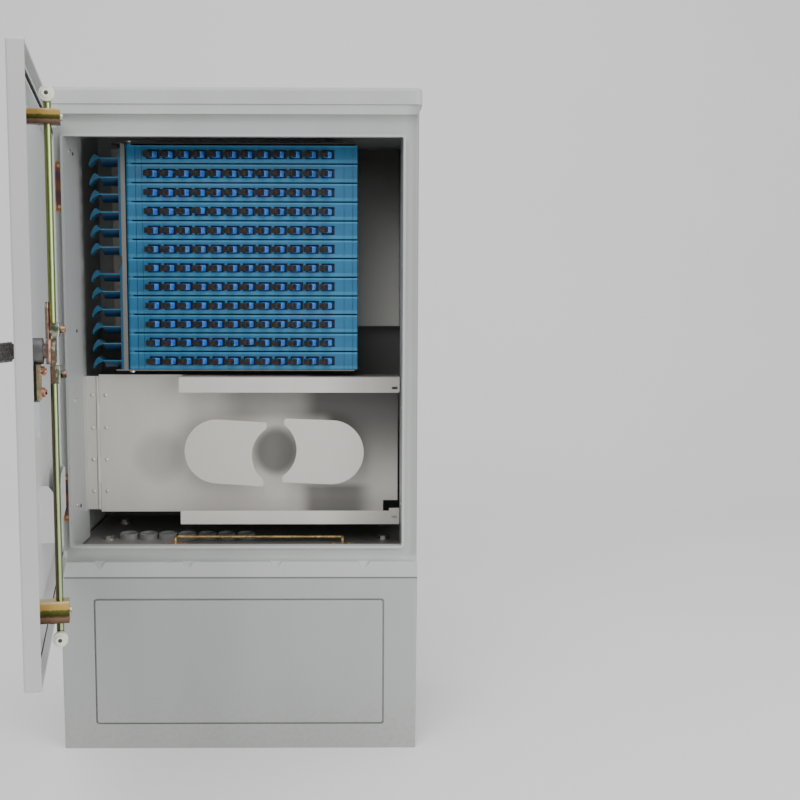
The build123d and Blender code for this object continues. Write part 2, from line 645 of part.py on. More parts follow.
# Document pocket
with BuildPart() as document_pocket:
    block(-190, 30, skin, skin + 20, 408, 482)
    with BuildSketch(Plane.YZ.offset(-191)):
        Polygon((fy(skin + 9), 483), (fy(skin + 21), 483), (fy(skin + 21), 466), align=None)
    extrude(amount=222, mode=Mode.SUBTRACT)
    block(-188, 28, skin + 1.5, skin + 18, 410, 483, Mode.SUBTRACT)
    with Locations((-80, fy(skin + 19), 500)):
        Cylinder(46, 6, rotation=(90, 0, 0), mode=Mode.SUBTRACT)
    fillet(document_pocket.edges().filter_by(Axis.Z).filter_by(lambda e: e.center().Y > fy(skin + 19.5)), 1.5)
piece = door_pose * document_pocket.part
piece.label = "document_pocket"
export_step(piece, "parts/document_pocket.step")

# Handle escutcheon with a dish through the door
dish_floor = 1.0
dish_back = 3.5
with BuildPart() as handle_escutcheon:
    plate(lock_x - 17.5, lock_x + 17.5, 568.8, 686.3, door_front - 4.5, door_front, 2)
    fillet(handle_escutcheon.faces().sort_by(Axis.Y)[0].edges(), 1.2)
    plate(lock_x - 13, lock_x + 13, 571, 684, door_front - 0.5, dish_back, 6)
    block(lock_x - 11.5, lock_x + 11.5, dish_back - 0.5, 11.5, 572, 611.5)
    block(lock_x - 12, lock_x + 12, -20, dish_floor, 573.8, 669, Mode.SUBTRACT)
    round_d(lock_x, 669, -20, dish_floor, 12, Mode.SUBTRACT)
    round_d(lock_x, lock_z, -20, 20, 6 + slip, Mode.SUBTRACT)
    block(lock_x - 4.2, lock_x + 4.2, -5, 20, 579.8, 586.2, Mode.SUBTRACT)
piece = door_pose * handle_escutcheon.part
piece.label = "handle_escutcheon"
export_step(piece, "parts/handle_escutcheon.step")

# Release button
with BuildPart() as release_button:
    block(lock_x - 11, lock_x + 11, -11.8, -3, 577.7, 588.2)
    fillet(release_button.edges().filter_by(Axis.Y), 0.8)
    block(lock_x - 4, lock_x + 4, -3.5, 10.5, 580, 586)
piece = door_pose * release_button.part
piece.label = "release_button"
export_step(piece, "parts/release_button.step")

# Lock housing with its back plate and clamp bar
with BuildPart() as lock_housing:
    round_d(lock_x, lock_z, dish_back, 16.5, 14.5)
    block(lock_x - 11.5, lock_x + 11.5, dish_back, 7, 612, lock_z)
    block(lock_x - 6.5, lock_x + 6.5, 6, 13.5, 613, 652)
    round_d(lock_x, lock_z, 0, 20, 6 + slip, Mode.SUBTRACT)
piece = door_pose * lock_housing.part
piece.label = "lock_housing"
export_step(piece, "parts/lock_housing.step")

# Lock spindle with tongue, crossbar, cam arm, crank disc and crank pins
tilt_d = -7.0
crank = crank_r * c45
with BuildPart() as lock_spindle:
    round_d(lock_x, lock_z, -2, 20, 6)
    round_d(lock_x, lock_z, -3.2, dish_floor - gap, 8)
    block(lock_x - 3.4, lock_x + 3.4, tilt_d, -3, lock_z - 3, lock_z + 3)
    with Locations((lock_x, fy(tilt_d), lock_z)):
        Cylinder(3.4, 6)
        Cylinder(1.75, 10.2)
    round_d(lock_x, lock_z, 16.7, 19.5, 8.5)
    block(lock_x - 8, lock_x + 8, 19.5, 23, lock_z - 7, lock_z + 46)
    round_d(lock_x, lock_z - 7, 19.5, 23, 8)
    round_d(lock_x, lock_z + 46, 19.5, 23, 8)
    round_d(lock_x, lock_z, 23, 25, 15.8)
    round_d(lock_x - crank, lock_z - crank, 24, 30.5, 2.5)
    round_d(lock_x + crank, lock_z + crank, 24, 30.5, 2.5)
piece = door_pose * lock_spindle.part
piece.label = "lock_spindle"
export_step(piece, "parts/lock_spindle.step")

# Lever handle, built flat and then tilted out
tilt_pose = Pos(lock_x, fy(tilt_d), 0) * Rot(0, 0, -lever_tilt_deg) * Pos(-lock_x, -fy(tilt_d), 0)
cover_l = 57.0
with BuildPart() as lever_handle:
    shape_xz(
        ((lock_x - 2.5, lock_z - 5.1), (lock_x + 3, lock_z - 6), (lock_x + 12, lock_z - 10.85),
         (lock_x + 78, lock_z - 10.85), (lock_x + 78, lock_z + 10.85), (lock_x + 12, lock_z + 10.85),
         (lock_x + 3, lock_z + 6), (lock_x - 2.5, lock_z + 5.1)),
        tilt_d - 6.2, tilt_d - 3.8,
    )
    block(lock_x + 12, lock_x + 24, tilt_d - 4, tilt_d - 1, lock_z - 10.85, lock_z + 10.85)
    block(lock_x + 22, lock_x + 78, tilt_d - 4, tilt_d + 2.5, lock_z - 10.85, lock_z + 10.85)
    fillet(lever_handle.edges().filter_by(Axis.Y).filter_by(lambda e: e.center().X > lock_x + 77), 2)
    long_edges = lever_handle.edges().filter_by(Axis.X).filter_by(lambda e: e.length > 60)
    fillet(long_edges.filter_by(lambda e: e.center().Y < fy(tilt_d - 6)), 1.8)
    block(lock_x + 10, lock_x + 50, tilt_d - 3.8, tilt_d + 3, lock_z - 8.6, lock_z + 8.6, Mode.SUBTRACT)
    block(lock_x + 4, lock_x + 12, tilt_d - 3.8, tilt_d + 3, lock_z - 5.4, lock_z + 5.4, Mode.SUBTRACT)
    round_d(lock_x + 65, lock_z, tilt_d + 1, tilt_d + 3, 6.5, Mode.SUBTRACT)
    round_d(lock_x + 65, lock_z, tilt_d - 7, tilt_d - 4, 4.5, Mode.SUBTRACT)
    round_d(lock_x + cover_l, lock_z, tilt_d - 7, tilt_d - 2, 1.2 + slip, Mode.SUBTRACT)
    for z0 in (lock_z - 5.1, lock_z + 3.1):
        block(lock_x - 2.5, lock_x + 9, tilt_d - 4, tilt_d, z0, z0 + 2)
        round_z(lock_x, tilt_d, z0, z0 + 2, 3.4)
    round_z(lock_x, tilt_d, lock_z - 8, lock_z + 8, 1.75 + slip, Mode.SUBTRACT)
    block(lock_x - 3.6, lock_x + 3.6, tilt_d - 3.7, tilt_d + 5, lock_z - 3.1, lock_z + 3.1, Mode.SUBTRACT)
piece = door_pose * tilt_pose * lever_handle.part
piece.label = "lever_handle"
export_step(piece, "parts/lever_handle.step")

# Keyhole cover, a teardrop on a rivet
with BuildPart() as keyhole_cover:
    round_d(lock_x + 65, lock_z, tilt_d - 7.8, tilt_d - 6.3, 7)
    shape_xz(
        ((lock_x + cover_l - 1.5, lock_z - 1.6), (lock_x + 62, lock_z - 6.3), (lock_x + 62, lock_z + 6.3),
         (lock_x + cover_l - 1.5, lock_z + 1.6)),
        tilt_d - 7.8, tilt_d - 6.3,
    )
    round_d(lock_x + cover_l, lock_z, tilt_d - 8.2, tilt_d - 6.3, 2)
    round_d(lock_x + cover_l, lock_z, tilt_d - 6.4, tilt_d - 2.5, 1.2)
piece = door_pose * tilt_pose * keyhole_cover.part
piece.label = "keyhole_cover"
export_step(piece, "parts/keyhole_cover.step")

# Rod clamps with slotted plates on the crank pins
up_block = (lock_z + 16.3, lock_z + 31.0)
low_block = (lock_z - 36.0, lock_z - 16.5)
spigot_r = 3.0
for side, label, z_block in ((-1, "upper_rod_clamp", up_block), (1, "lower_rod_clamp", low_block)):
    pin_x = lock_x + side * crank
    pin_z = lock_z + side * crank
    x_in = lock_x + side * 5.0
    x_out = lock_x + side * 18.0
    with BuildPart() as clamp:
        block(lock_x - 8, lock_x + 8, 23.4 if side < 0 else 23.6, 34.5, z_block[0], z_block[1])
        fillet(clamp.edges().filter_by(Axis.Z), 1.5)
        z_lo = min(pin_z - 4.8, z_block[0] + 1)
        z_hi = max(pin_z + 4.8, z_block[1] - 1)
        if side < 0:
            z_hi = z_block[0] + 3
            block(min(x_in, x_out), max(x_in, x_out), 26, 30, pin_z - 4.8, z_hi)
        else:
            z_lo = z_block[1] - 3
            block(min(x_in, x_out), max(x_in, x_out), 26, 30, z_lo, pin_z + 4.8)
        slot_a = lock_x + side * 6.2
        slot_b = lock_x + side * 15.6
        block(min(slot_a, slot_b), max(slot_a, slot_b), 25, 31, pin_z - 3.1, pin_z + 3.1, Mode.SUBTRACT)
        round_z(lock_x, rod_d, z_block[0] + 1.5 if side < 0 else z_block[0] - 1,
                z_block[1] + 1 if side < 0 else z_block[1] - 1.5, spigot_r + slip, Mode.SUBTRACT)
        round_d(lock_x, (z_block[0] + z_block[1]) / 2, 34.5, 40.5, 4)
    piece = door_pose * clamp.part
    piece.label = label
    export_step(piece, "parts/" + label + ".step")

# Lock rods with tangs and roller pins
roller_r = 8.35
roller_t = 8.0
up_roller_z = 945.0
low_roller_z = 341.0
with BuildPart() as upper_rod:
    round_z(lock_x, rod_d, up_block[0] + 2, up_block[1], spigot_r)
    round_z(lock_x, rod_d, up_block[1], up_roller_z - 9.5, rod_r)
    block(lock_x - 3.5, lock_x + 0.5, rod_d - 4, rod_d + 4, up_roller_z - 12, up_roller_z)
    round_x(rod_d, up_roller_z, lock_x - 3.5, lock_x + 0.5, 4)
    round_x(rod_d, up_roller_z, lock_x - 3.5, lock_x + 10.5, 3)
    round_x(rod_d, up_roller_z, lock_x + 9.1, lock_x + 11, 5)
piece = door_pose * upper_rod.part
piece.label = "upper_rod"
export_step(piece, "parts/upper_rod.step")
with BuildPart() as lower_rod:
    round_z(lock_x, rod_d, low_block[0], low_block[1] - 2, spigot_r)
    round_z(lock_x, rod_d, low_roller_z + 9.5, low_block[0], rod_r)
    block(lock_x - 3.5, lock_x + 0.5, rod_d - 4, rod_d + 4, low_roller_z, low_roller_z + 12)
    round_x(rod_d, low_roller_z, lock_x - 3.5, lock_x + 0.5, 4)
    round_x(rod_d, low_roller_z, lock_x - 3.5, lock_x + 10.5, 3)
    round_x(rod_d, low_roller_z, lock_x + 9.1, lock_x + 11, 5)
piece = door_pose * lower_rod.part
piece.label = "lower_rod"
export_step(piece, "parts/lower_rod.step")

# Rollers
for z, label in ((up_roller_z, "upper_roller"), (low_roller_z, "lower_roller")):
    with BuildPart() as roller:
        round_x(rod_d, z, lock_x + 0.8, lock_x + 0.8 + roller_t, roller_r)
        fillet(roller.edges().filter_by(GeomType.CIRCLE), 0.8)
        round_x(rod_d, z, lock_x, lock_x + 10, 3 + slip, Mode.SUBTRACT)
    piece = door_pose * roller.part
    piece.label = label
    export_step(piece, "parts/" + label + ".step")

# Rod guides on the door
with BuildPart() as rod_guides:
    for z0, z1, d_far in ((913.0, 929.0, 40.5), (360.0, 385.0, 37.5)):
        block(lock_x - 8, lock_x + 8, skin, d_far, z0, z1)
        block(lock_x - 22, lock_x + 22, skin, skin + 3, z0, z1)
        block(lock_x - 9, lock_x - 6.5, 6, 16, z0 - 1, z1 + 1, Mode.SUBTRACT)
        block(lock_x + 6.5, lock_x + 9, 6, 16, z0 - 1, z1 + 1, Mode.SUBTRACT)
        round_z(lock_x, rod_d, z0 - 1, z1 + 1, rod_r + gap, Mode.SUBTRACT)
piece = door_pose * rod_guides.part
piece.label = "rod_guides"
export_step(piece, "parts/rod_guides.step")

# Screws and nuts of the door
with BuildPart() as door_screws:
    for z in (lock_z - 46.0, lock_z - 22.5):
        with BuildSketch(Plane.XZ.offset(-front - 13.5)) as hexagon:
            with Locations((lock_x, z)):
                RegularPolygon(6.2, 6)
        extrude(hexagon.sketch, amount=-4)
        round_d(lock_x, z, 17, 19.5, 3)
    for z in (921.0, 372.5):
        for x in (lock_x - 16, lock_x + 16):
            round_d(x, z, skin + 3, skin + 5.2, 3.4)
    for z, far in ((921.0, 40.5), (372.5, 37.5)):
        round_d(lock_x, z, far, far + 2.4, 3.6)
piece = door_pose * door_screws.part
piece.label = "door_screws"
export_step(piece, "parts/door_screws.step")
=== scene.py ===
# %% [markdown]
# # A street cabinet for fibre connections
# The shapes of the cabinet come from its CAD model. This script loads that model as a fixed frame,
# gives every part a finish worked out with shader nodes, adds the small pieces that are too fine
# for the CAD model, and sets up the floor, the lights and the camera. Lengths are in metres, unless
# a comment says millimetres. The middle of the cabinet is at x = 0 and its front looks towards -y.

import math

import bpy
import numpy as np
from mathutils import Matrix, Vector


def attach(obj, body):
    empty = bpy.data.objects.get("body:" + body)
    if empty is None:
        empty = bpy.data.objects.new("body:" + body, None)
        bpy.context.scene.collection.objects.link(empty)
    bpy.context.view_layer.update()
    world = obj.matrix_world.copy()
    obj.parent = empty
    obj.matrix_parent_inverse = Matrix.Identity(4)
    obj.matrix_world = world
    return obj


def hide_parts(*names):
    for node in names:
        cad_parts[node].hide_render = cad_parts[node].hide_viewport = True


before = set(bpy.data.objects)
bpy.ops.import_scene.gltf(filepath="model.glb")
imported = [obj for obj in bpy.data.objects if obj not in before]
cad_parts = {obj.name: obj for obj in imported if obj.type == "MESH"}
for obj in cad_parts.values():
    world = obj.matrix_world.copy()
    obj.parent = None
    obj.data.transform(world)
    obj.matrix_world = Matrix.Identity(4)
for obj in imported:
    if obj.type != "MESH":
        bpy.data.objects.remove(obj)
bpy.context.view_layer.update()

# %% [markdown]
# ## A small language for shader maths
# Node trees are long to write by hand. A socket is wrapped in a class with the usual operators, so
# that 1 - mask or height * 0.3 adds the Math nodes. Every other node comes from one method.


# %% Sockets with operators
class Wire:
    """A node's output that can be used in sums: wire + 2, 1 - wire, wire * wire."""

    def __init__(self, paint, socket):
        self.paint = paint
        self.socket = socket

    def __add__(self, other):
        return self.paint.maths("ADD", self, other)

    def __sub__(self, other):
        return self.paint.maths("SUBTRACT", self, other)

    def __rsub__(self, other):
        return self.paint.maths("SUBTRACT", other, self)

    def __mul__(self, other):
        return self.paint.maths("MULTIPLY", self, other)

    def __truediv__(self, other):
        return self.paint.maths("DIVIDE", self, other)

    __radd__ = __add__
    __rmul__ = __mul__


print("ready:", Wire.__doc__)

# %% [markdown]
# ## Colours
# A screen colour isn't an amount of light, because a screen bends its values. A shader needs the
# straight ones. They could be typed in directly, but 0 to 255 is easier to read, so a function
# straightens them. A shade is the same colour made lighter or darker.


# %% Colours and shades
def srgb(red, green, blue):
    """Colour of a screen pixel, 0 to 255, as the linear light values that shaders use."""
    values = [v / 255 for v in (red, green, blue)]
    return tuple(v / 12.92 if v <= 0.04045 else ((v + 0.055) / 1.055) ** 2.4 for v in values)


def shade(tone, amount):
    """Each channel of a colour times an amount, and never above 1."""
    return tuple(min(1.0, channel * amount) for channel in tone)


print("middle grey as light:", round(srgb(128, 128, 128)[0], 3))

# %% [markdown]
# ## Materials as small node trees
# A finish is a handful of masks, each 0 or 1 with a soft slope between, and colours mixed by them.
# The class below has one method for each thing that the finishes need: clouds of noise, a
# coordinate of the surface point, a slope, a band, a mix, and the shader at the end.


# %% One material
class Paint:
    """One material and the nodes in it."""

    def __init__(self, name):
        self.material = bpy.data.materials.new(name)
        self.material.use_nodes = True
        self.tree = self.material.node_tree
        self.tree.nodes.clear()
        self.place = self.node("ShaderNodeTexCoord", output="Object")

    def node(self, kind, settings=None, inputs=None, output=0):
        """Adds a node: settings such as an operation or a ramp's stops first, then its sockets."""
        made = self.tree.nodes.new(kind)
        for key, value in (settings or {}).items():
            if key == "stops":
                elements = made.color_ramp.elements
                elements.remove(elements[1])
                for index, (position, colour) in enumerate(value):
                    stop = elements[0] if index == 0 else elements.new(position)
                    stop.position = position
                    stop.color = (*colour, 1)
            else:
                setattr(made, key, value)
        for key, value in (inputs or {}).items():
            if isinstance(value, Wire):
                self.tree.links.new(value.socket, made.inputs[key])
            else:
                made.inputs[key].default_value = value
        return Wire(self, made.outputs[output])

    def maths(self, operation, a, b, clamp=False):
        """A Math node on two values."""
        settings = {"operation": operation, "use_clamp": clamp}
        return self.node("ShaderNodeMath", settings, {0: a, 1: b})

    def noise(self, scale, detail=3.0, rough=0.5, stretch=(1, 1, 1)):
        """Cloudy noise in the part's own metres, stretched along an axis by a small number."""
        spot = self.node("ShaderNodeMapping", {}, {"Vector": self.place, "Scale": stretch})
        inputs = {"Vector": spot, "Scale": scale, "Detail": detail, "Roughness": rough}
        return self.node("ShaderNodeTexNoise", {}, inputs)

    def ramp(self, value, stops):
        """A value turned into a colour by a ramp."""
        return self.node("ShaderNodeValToRGB", {"stops": stops}, {"Fac": value})

    def mix(self, factor, first, second):
        """Two colours mixed by a factor."""
        inputs = {0: factor, 6: self.colour(first), 7: self.colour(second)}
        return self.node("ShaderNodeMix", {"data_type": "RGBA"}, inputs, 2)

    def colour(self, value):
        """A colour as a socket wants it."""
        return value if isinstance(value, Wire) else (*value, 1)

    def axis(self, letter):
        """One coordinate of the surface point, in metres."""
        return self.node("ShaderNodeSeparateXYZ", {}, {0: self.place}, "XYZ".index(letter))

    def unturn(self, degrees, x, y):
        """Takes positions as if the part were first turned about an upright line at x and y."""
        a = math.radians(degrees)
        shift = (x - x * math.cos(a) + y * math.sin(a), y - x * math.sin(a) - y * math.cos(a), 0)
        inputs = {"Vector": self.place, "Location": shift, "Rotation": (0, 0, a)}
        self.place = self.node("ShaderNodeMapping", {}, inputs)

    def step(self, value, low, high):
        """0 below low, 1 above high, and a smooth slope between them."""
        inputs = {"Value": value, "From Min": low, "From Max": high}
        return self.node("ShaderNodeMapRange", {"interpolation_type": "SMOOTHSTEP"}, inputs)

    def fall(self, value, low, high):
        """1 below low, 0 above high: a step upside down."""
        return 1 - self.step(value, low, high)

    def band(self, value, up, down):
        """1 between two slopes and 0 outside them. Each slope is given by its start and end."""
        return self.step(value, *up) * self.fall(value, *down)

    def off(self, value, middle):
        """How far a value is from a middle, without a sign."""
        return self.maths("ABSOLUTE", value - middle, 0)

    def spot(self, across, up, middle, tall, near, far):
        """1 round a middle, 0 away from it. The distance squared, with its height part times
        tall, runs from near to far along the soft rim."""
        dx = across - middle[0]
        dz = up - middle[1]
        return self.fall(dx * dx + dz * dz * tall, near, far)

    def clouded(self, cloud, tone, dark, low=0.3, high=0.7, light=1.0):
        """A tone that noise turns from a dark shade, at low, to a light one, at high."""
        return self.mix(self.step(cloud, low, high), shade(tone, dark), shade(tone, light))

    def done(self, colour, rough, metal=0.0, height=None, bump=0.2, depth=0.0005):
        """Joins colour, roughness, metal and a bump height into one shader."""
        inputs = {"Base Color": self.colour(colour), "Roughness": rough, "Metallic": metal}
        if height is not None:
            relief = {"Strength": bump, "Distance": depth, "Height": height}
            inputs["Normal"] = self.node("ShaderNodeBump", {}, relief)
        shader = self.node("ShaderNodeBsdfPrincipled", {}, inputs)
        last = self.tree.nodes.new("ShaderNodeOutputMaterial")
        self.tree.links.new(shader.socket, last.inputs["Surface"])
        return self.material


print("ready:", Paint.__doc__)


# %% Dressing CAD nodes
def wear(material, *nodes):
    """Gives CAD nodes a material."""
    for node in nodes:
        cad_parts[node].data.materials[0] = material
    print(material.name, "on", ", ".join(nodes))


# %% [markdown]
# ## The place of the door
# The model stands with its door open. A finish that is darker at the door's rim, or dark inside
# the lever, has to know where that rim or inside is. The open door lies aslant in the frame, so
# its finishes turn each surface point back to the closed door first, where the numbers are simple.

# %% Where the door stands
DOOR_OPEN = 77.5  # degrees, about an upright line through the hinge pins
HINGE = (-0.276, -0.145)
print("door open by", DOOR_OPEN, "degrees")

# %% [markdown]
# ## The moulded grey body
# Street cabinets like this are pressed from glass filled resin. The skin is a cool grey with a very
# fine grain, long flow clouds that are only a shade lighter or darker, and a little dust low down.
# Noise at three scales gives this without any picture. Masks add what single parts need: a dark
# line in the seam over the plinth, and painted shade: less light on the back wall, a darker edge at
# the right, a darker outside and free edge on the door.

# %% Slopes and tones of the moulded parts
# Each slope is the start and end of a mask along one axis
DUST_SLOPE = (0.0, 0.16)
BACK_WALL_SLOPE = (0.1462, 0.1468)
UNLIT_SLOPE = (0.655, 0.670)
RIGHT_JAMB_SLOPE = (0.258, 0.280)
LEDGE_SLOPE = (0.295, 0.320)
DOOR_SKIN_SLOPE = (-0.1575, -0.1565)
DOOR_RIM_SLOPE = (0.2782, 0.2788)
SEAM_HEIGHT = 0.2782
SEAM_SLOPE = (0.0006, 0.0020)
BODY_GREY = srgb(176, 179, 177)
SHADOW_GREY = srgb(60, 61, 59)
print("seam at a height of", SEAM_HEIGHT)


# %% Grey moulding
def grey_moulding(name, tone, dust=0.0, shaded=0.0, door=False, right_edge_shade=0.0):
    """Grey resin: clouds and fine grain, then dust low down, and painted shade on an unlit back
    wall, on a darker right edge and on a darker outside and free edge of the door, or a dark line
    in the seam elsewhere."""
    paint = Paint(name)
    if door:
        paint.unturn(DOOR_OPEN, *HINGE)
    clouds = paint.noise(5.0, 4.0, 0.55, (1, 1, 0.35))
    grain = paint.noise(900.0, 2.0, 0.6)
    pits = paint.noise(140.0, 3.0, 0.6)
    colour = paint.clouded(clouds, tone, 0.93, light=1.05)
    colour = paint.mix(paint.step(grain, 0.62, 0.72) * 0.10, colour, shade(tone, 0.7))
    if dust:
        low = paint.fall(paint.axis("Z"), *DUST_SLOPE)
        dusty = low * paint.step(pits, 0.35, 0.75) * dust
        colour = paint.mix(dusty, colour, srgb(150, 142, 128))
    if shaded:
        inner = paint.fall(paint.axis("Y"), *BACK_WALL_SLOPE)
        unlit = inner * paint.fall(paint.axis("Z"), *UNLIT_SLOPE)
        colour = paint.mix(unlit * shaded, colour, srgb(70, 68, 66))
    if right_edge_shade:
        # Painted shade: the front frame grows darker towards its right edge, above the ledge.
        flank = paint.step(paint.axis("X"), *RIGHT_JAMB_SLOPE)
        flank = flank * paint.step(paint.axis("Z"), *LEDGE_SLOPE)
        colour = paint.mix(flank * right_edge_shade, colour, SHADOW_GREY)
    if door:
        # Painted shade: the door's outer skin and its free edge are mixed towards a shadow grey.
        outside = paint.fall(paint.axis("Y"), *DOOR_SKIN_SLOPE)
        door_rim_shade = paint.maths("MAXIMUM", outside, paint.step(paint.axis("X"), *DOOR_RIM_SLOPE))
        colour = paint.mix(door_rim_shade * 0.28, colour, SHADOW_GREY)
    else:
        seam = paint.fall(paint.off(paint.axis("Z"), SEAM_HEIGHT), *SEAM_SLOPE)
        colour = paint.mix(seam * 0.72, colour, srgb(40, 41, 40))
    rough = clouds * 0.12 + pits * 0.08 + 0.36
    return paint.done(colour, rough, height=grain * 0.6 + pits, bump=0.09, depth=0.0004)


moulding = grey_moulding("moulding", BODY_GREY)
print("nodes of one moulding:", len(moulding.node_tree.nodes))

# %% Grey parts
frame_moulding = grey_moulding("frame_moulding", BODY_GREY, right_edge_shade=0.34)
back_moulding = grey_moulding("back_moulding", BODY_GREY, shaded=0.85)
plinth_moulding = grey_moulding("plinth_moulding", srgb(160, 163, 162), dust=0.35)
# The door's tone is lighter than the body's: painted light that brightens its inner face.
door_moulding = grey_moulding("door_moulding", srgb(202, 204, 202), door=True)
wear(moulding, "roof_cap", "side_panel_left", "side_panel_right")
wear(frame_moulding, "front_frame")
wear(back_moulding, "back_panel")
wear(plinth_moulding, "plinth_frame", "plinth_panel")
wear(door_moulding, "door_shell", "document_pocket")

# %% [markdown]
# ## Sheet metal inside
# The tray frame, the floor and the hinge leaf are bent sheet with a warm grey powder coat. Such a
# coat has the soft ripple of orange peel, which is a bump here, because it is far too small to be
# modelled.

# %% Ripple of a powder coat
PEEL = (420.0, 1.0, 0.4)  # scale, detail and roughness of the noise
MARKS = (14.0, 5.0, 0.65, (1, 1, 0.3))
COAT_RELIEF = {"bump": 0.12, "depth": 0.0004}


def powder_coat(name, tone, painted_shade_above=None):
    """Powder coat: orange peel ripple in the bump, faint handling marks, painted shade above a
    height.
    """
    paint = Paint(name)
    peel = paint.noise(*PEEL)
    marks = paint.noise(*MARKS)
    colour = paint.clouded(marks, tone, 0.95, low=0.35, light=1.06)
    # Painted shade: near black above the given height.
    if painted_shade_above:
        top = paint.step(paint.axis("Z"), painted_shade_above, painted_shade_above + 0.0003)
        colour = paint.mix(top, colour, srgb(52, 50, 48))
    worn = paint.step(marks, 0.55, 0.75) * 0.12 + 0.45
    return paint.done(colour, worn, height=peel, **COAT_RELIEF)


TRAY_FRAME_TOP = 0.9606
wear(powder_coat("leaf_coat", srgb(196, 193, 188)), "panel_hinge_leaf")
wear(powder_coat("floor_coat", srgb(132, 131, 128)), "floor_panel")
tray_frame_coat = powder_coat("tray_frame_coat", srgb(116, 115, 113), painted_shade_above=TRAY_FRAME_TOP)
wear(tray_frame_coat, "tray_frame")

# %% [markdown]
# ## The storage panel
# The big sheet under the trays is glossier than its spool, whose two flat flanges are matt. The
# gloss mirrors the dark inside of the cabinet in soft patches. A rendered reflection would need
# all that stands in front of it, so the patches are masks in x and z on the front of the sheet.

# %% Patches on the sheet, as slopes and middles
SHEET_FRONT = ((-0.080, -0.070), (-0.0396, -0.0392))
UPPER_SLOPE = (0.505, 0.530)
UPPER_LEFT, UPPER_RIGHT = (-0.06, 0.0), (0.085, 0.125)
LOWER_ACROSS, LOWER_TOP = ((0.085, 0.115), (0.18, 0.22)), (0.398, 0.412)
SIDE_EDGE, SIDE_SLOPE = (0.125, 0.150), (0.37, 0.52)
FLANGE_SHADOW_MIDDLE, SPOOL_GAP_MIDDLE = (-0.141, 0.452), (0.0514, 0.4620)
LIP_FACE, LIP_ACROSS = (-0.0860, -0.0850), (0.12, 0.20)
FLANGE_FACE, FLANGE_HEIGHTS = (-0.0757, -0.0752), ((0.405, 0.408), (0.528, 0.531))
print("middle of the spool at", SPOOL_GAP_MIDDLE)


# %% Coat of the storage panel
def spool_panel_coat(name, sheet, flange):
    """Glossy sheet with painted reflection where the dark inside mirrors in it, a painted shadow of
    the spool's left flange, and matt spool flanges.
    """
    paint = Paint(name)
    peel = paint.noise(*PEEL)
    marks = paint.noise(*MARKS)
    x, y, z = (paint.axis(letter) for letter in "XYZ")
    # Painted reflection: the darker patches. The round patch left of the spool is a painted shadow
    # of its left flange. The lips are painted darker at the right.
    above = paint.step(x, *UPPER_LEFT) * 0.42 + paint.step(x, *UPPER_RIGHT) * 0.40
    upper = paint.step(z, *UPPER_SLOPE) * above
    lower = paint.band(x, *LOWER_ACROSS) * paint.fall(z, *LOWER_TOP)
    side = paint.step(x, *SIDE_EDGE) * paint.band(z, SIDE_SLOPE, UPPER_SLOPE)
    flange_shadow = paint.spot(x, z, FLANGE_SHADOW_MIDDLE, 1.0, 0.0004, 0.0028)
    gap = paint.spot(x, z, SPOOL_GAP_MIDDLE, 0.8, 0.0006, 0.0018)
    patches = upper + lower * 0.6 + side * 0.8 + flange_shadow * 0.22 + gap * 0.70
    lips = paint.fall(y, *LIP_FACE) * paint.step(x, *LIP_ACROSS) * 0.30
    dark = paint.maths("ADD", patches * paint.band(y, *SHEET_FRONT), lips, clamp=True)
    colour = paint.clouded(marks, sheet, 0.95, low=0.35)
    colour = paint.mix(dark, colour, srgb(30, 29, 28))
    matt = paint.fall(y, *FLANGE_FACE) * paint.band(z, *FLANGE_HEIGHTS)
    colour = paint.mix(matt, colour, flange)
    rough = matt * 0.25 + paint.step(marks, 0.55, 0.75) * 0.10 + 0.36
    return paint.done(colour, rough, height=peel, **COAT_RELIEF)


panel_coat = spool_panel_coat("panel_coat", srgb(204, 200, 194), srgb(196, 194, 188))
wear(panel_coat, "storage_panel")

# %% [markdown]
# ## The plate behind the trays
# The mounting plate closes the space behind the trays. Little light comes in under the roof, so it
# looks nearly black at the top and pale at its foot. The lights of the scene give only a part of
# that, and a ramp over the height gives the rest.

# %% Coat of the mounting plate
PLATE_FOOT, PLATE_REACH = 0.66, 0.30
PLATE_LIT_LEFT_SLOPE = (-0.19, -0.17)


def plate_coat(name, top, foot):
    """Dull coat with painted shade that grows darker with the height, and painted light in a pale
    strip at the left.
    """
    paint = Paint(name)
    peel = paint.noise(*PEEL)
    cloud = paint.noise(9.0, 4.0, 0.6)
    height = paint.axis("Z") + cloud * 0.05 - 0.025
    middle = tuple(0.35 * a + 0.65 * b for a, b in zip(top, foot))
    stops = ((0.0, foot), (0.45, middle), (1.0, top))
    colour = paint.ramp((height - PLATE_FOOT) / PLATE_REACH, stops)
    # Painted light: the strip at the left is paler than the lights of the scene make it.
    left = paint.fall(paint.axis("X"), *PLATE_LIT_LEFT_SLOPE)
    colour = paint.mix(left, colour, srgb(232, 224, 214))
    return paint.done(colour, cloud * 0.15 + 0.5, height=peel, **COAT_RELIEF)


wear(plate_coat("plate_coat", srgb(70, 68, 65), srgb(208, 206, 200)), "mounting_plate")

# %% [markdown]
# ## Teal trays
# The splice trays are moulded in a blue green plastic. Their front ledges catch the light and look
# paler, the faces behind are deeper: the pale ledges are a painted highlight, and the dark pocket
# behind the adapters is painted shade. Each tray could have a material of its own, but they are
# stacked on a fixed pitch, so one colour over the height inside a tray fits all twelve.

# %% The stack of trays
TRAY_COUNT = 12
TRAY_FOOT = 0.6005  # under side of the lowest tray
TRAY_PITCH = 0.030
# The lid is a rectangle in x and y: its middle and its half size
LID_MIDDLE, LID_HALF = (0.005, 0.0285), (0.168, 0.0765)
POCKET_FRONT = ((-0.0656, -0.0640), (-0.0575, -0.0570))
POCKET_SIDE = (0.151, 0.152)
PLASTIC_RELIEF = {"bump": 0.08, "depth": 0.0003}
print("top of the stack at", round(TRAY_FOOT + TRAY_COUNT * TRAY_PITCH, 4))


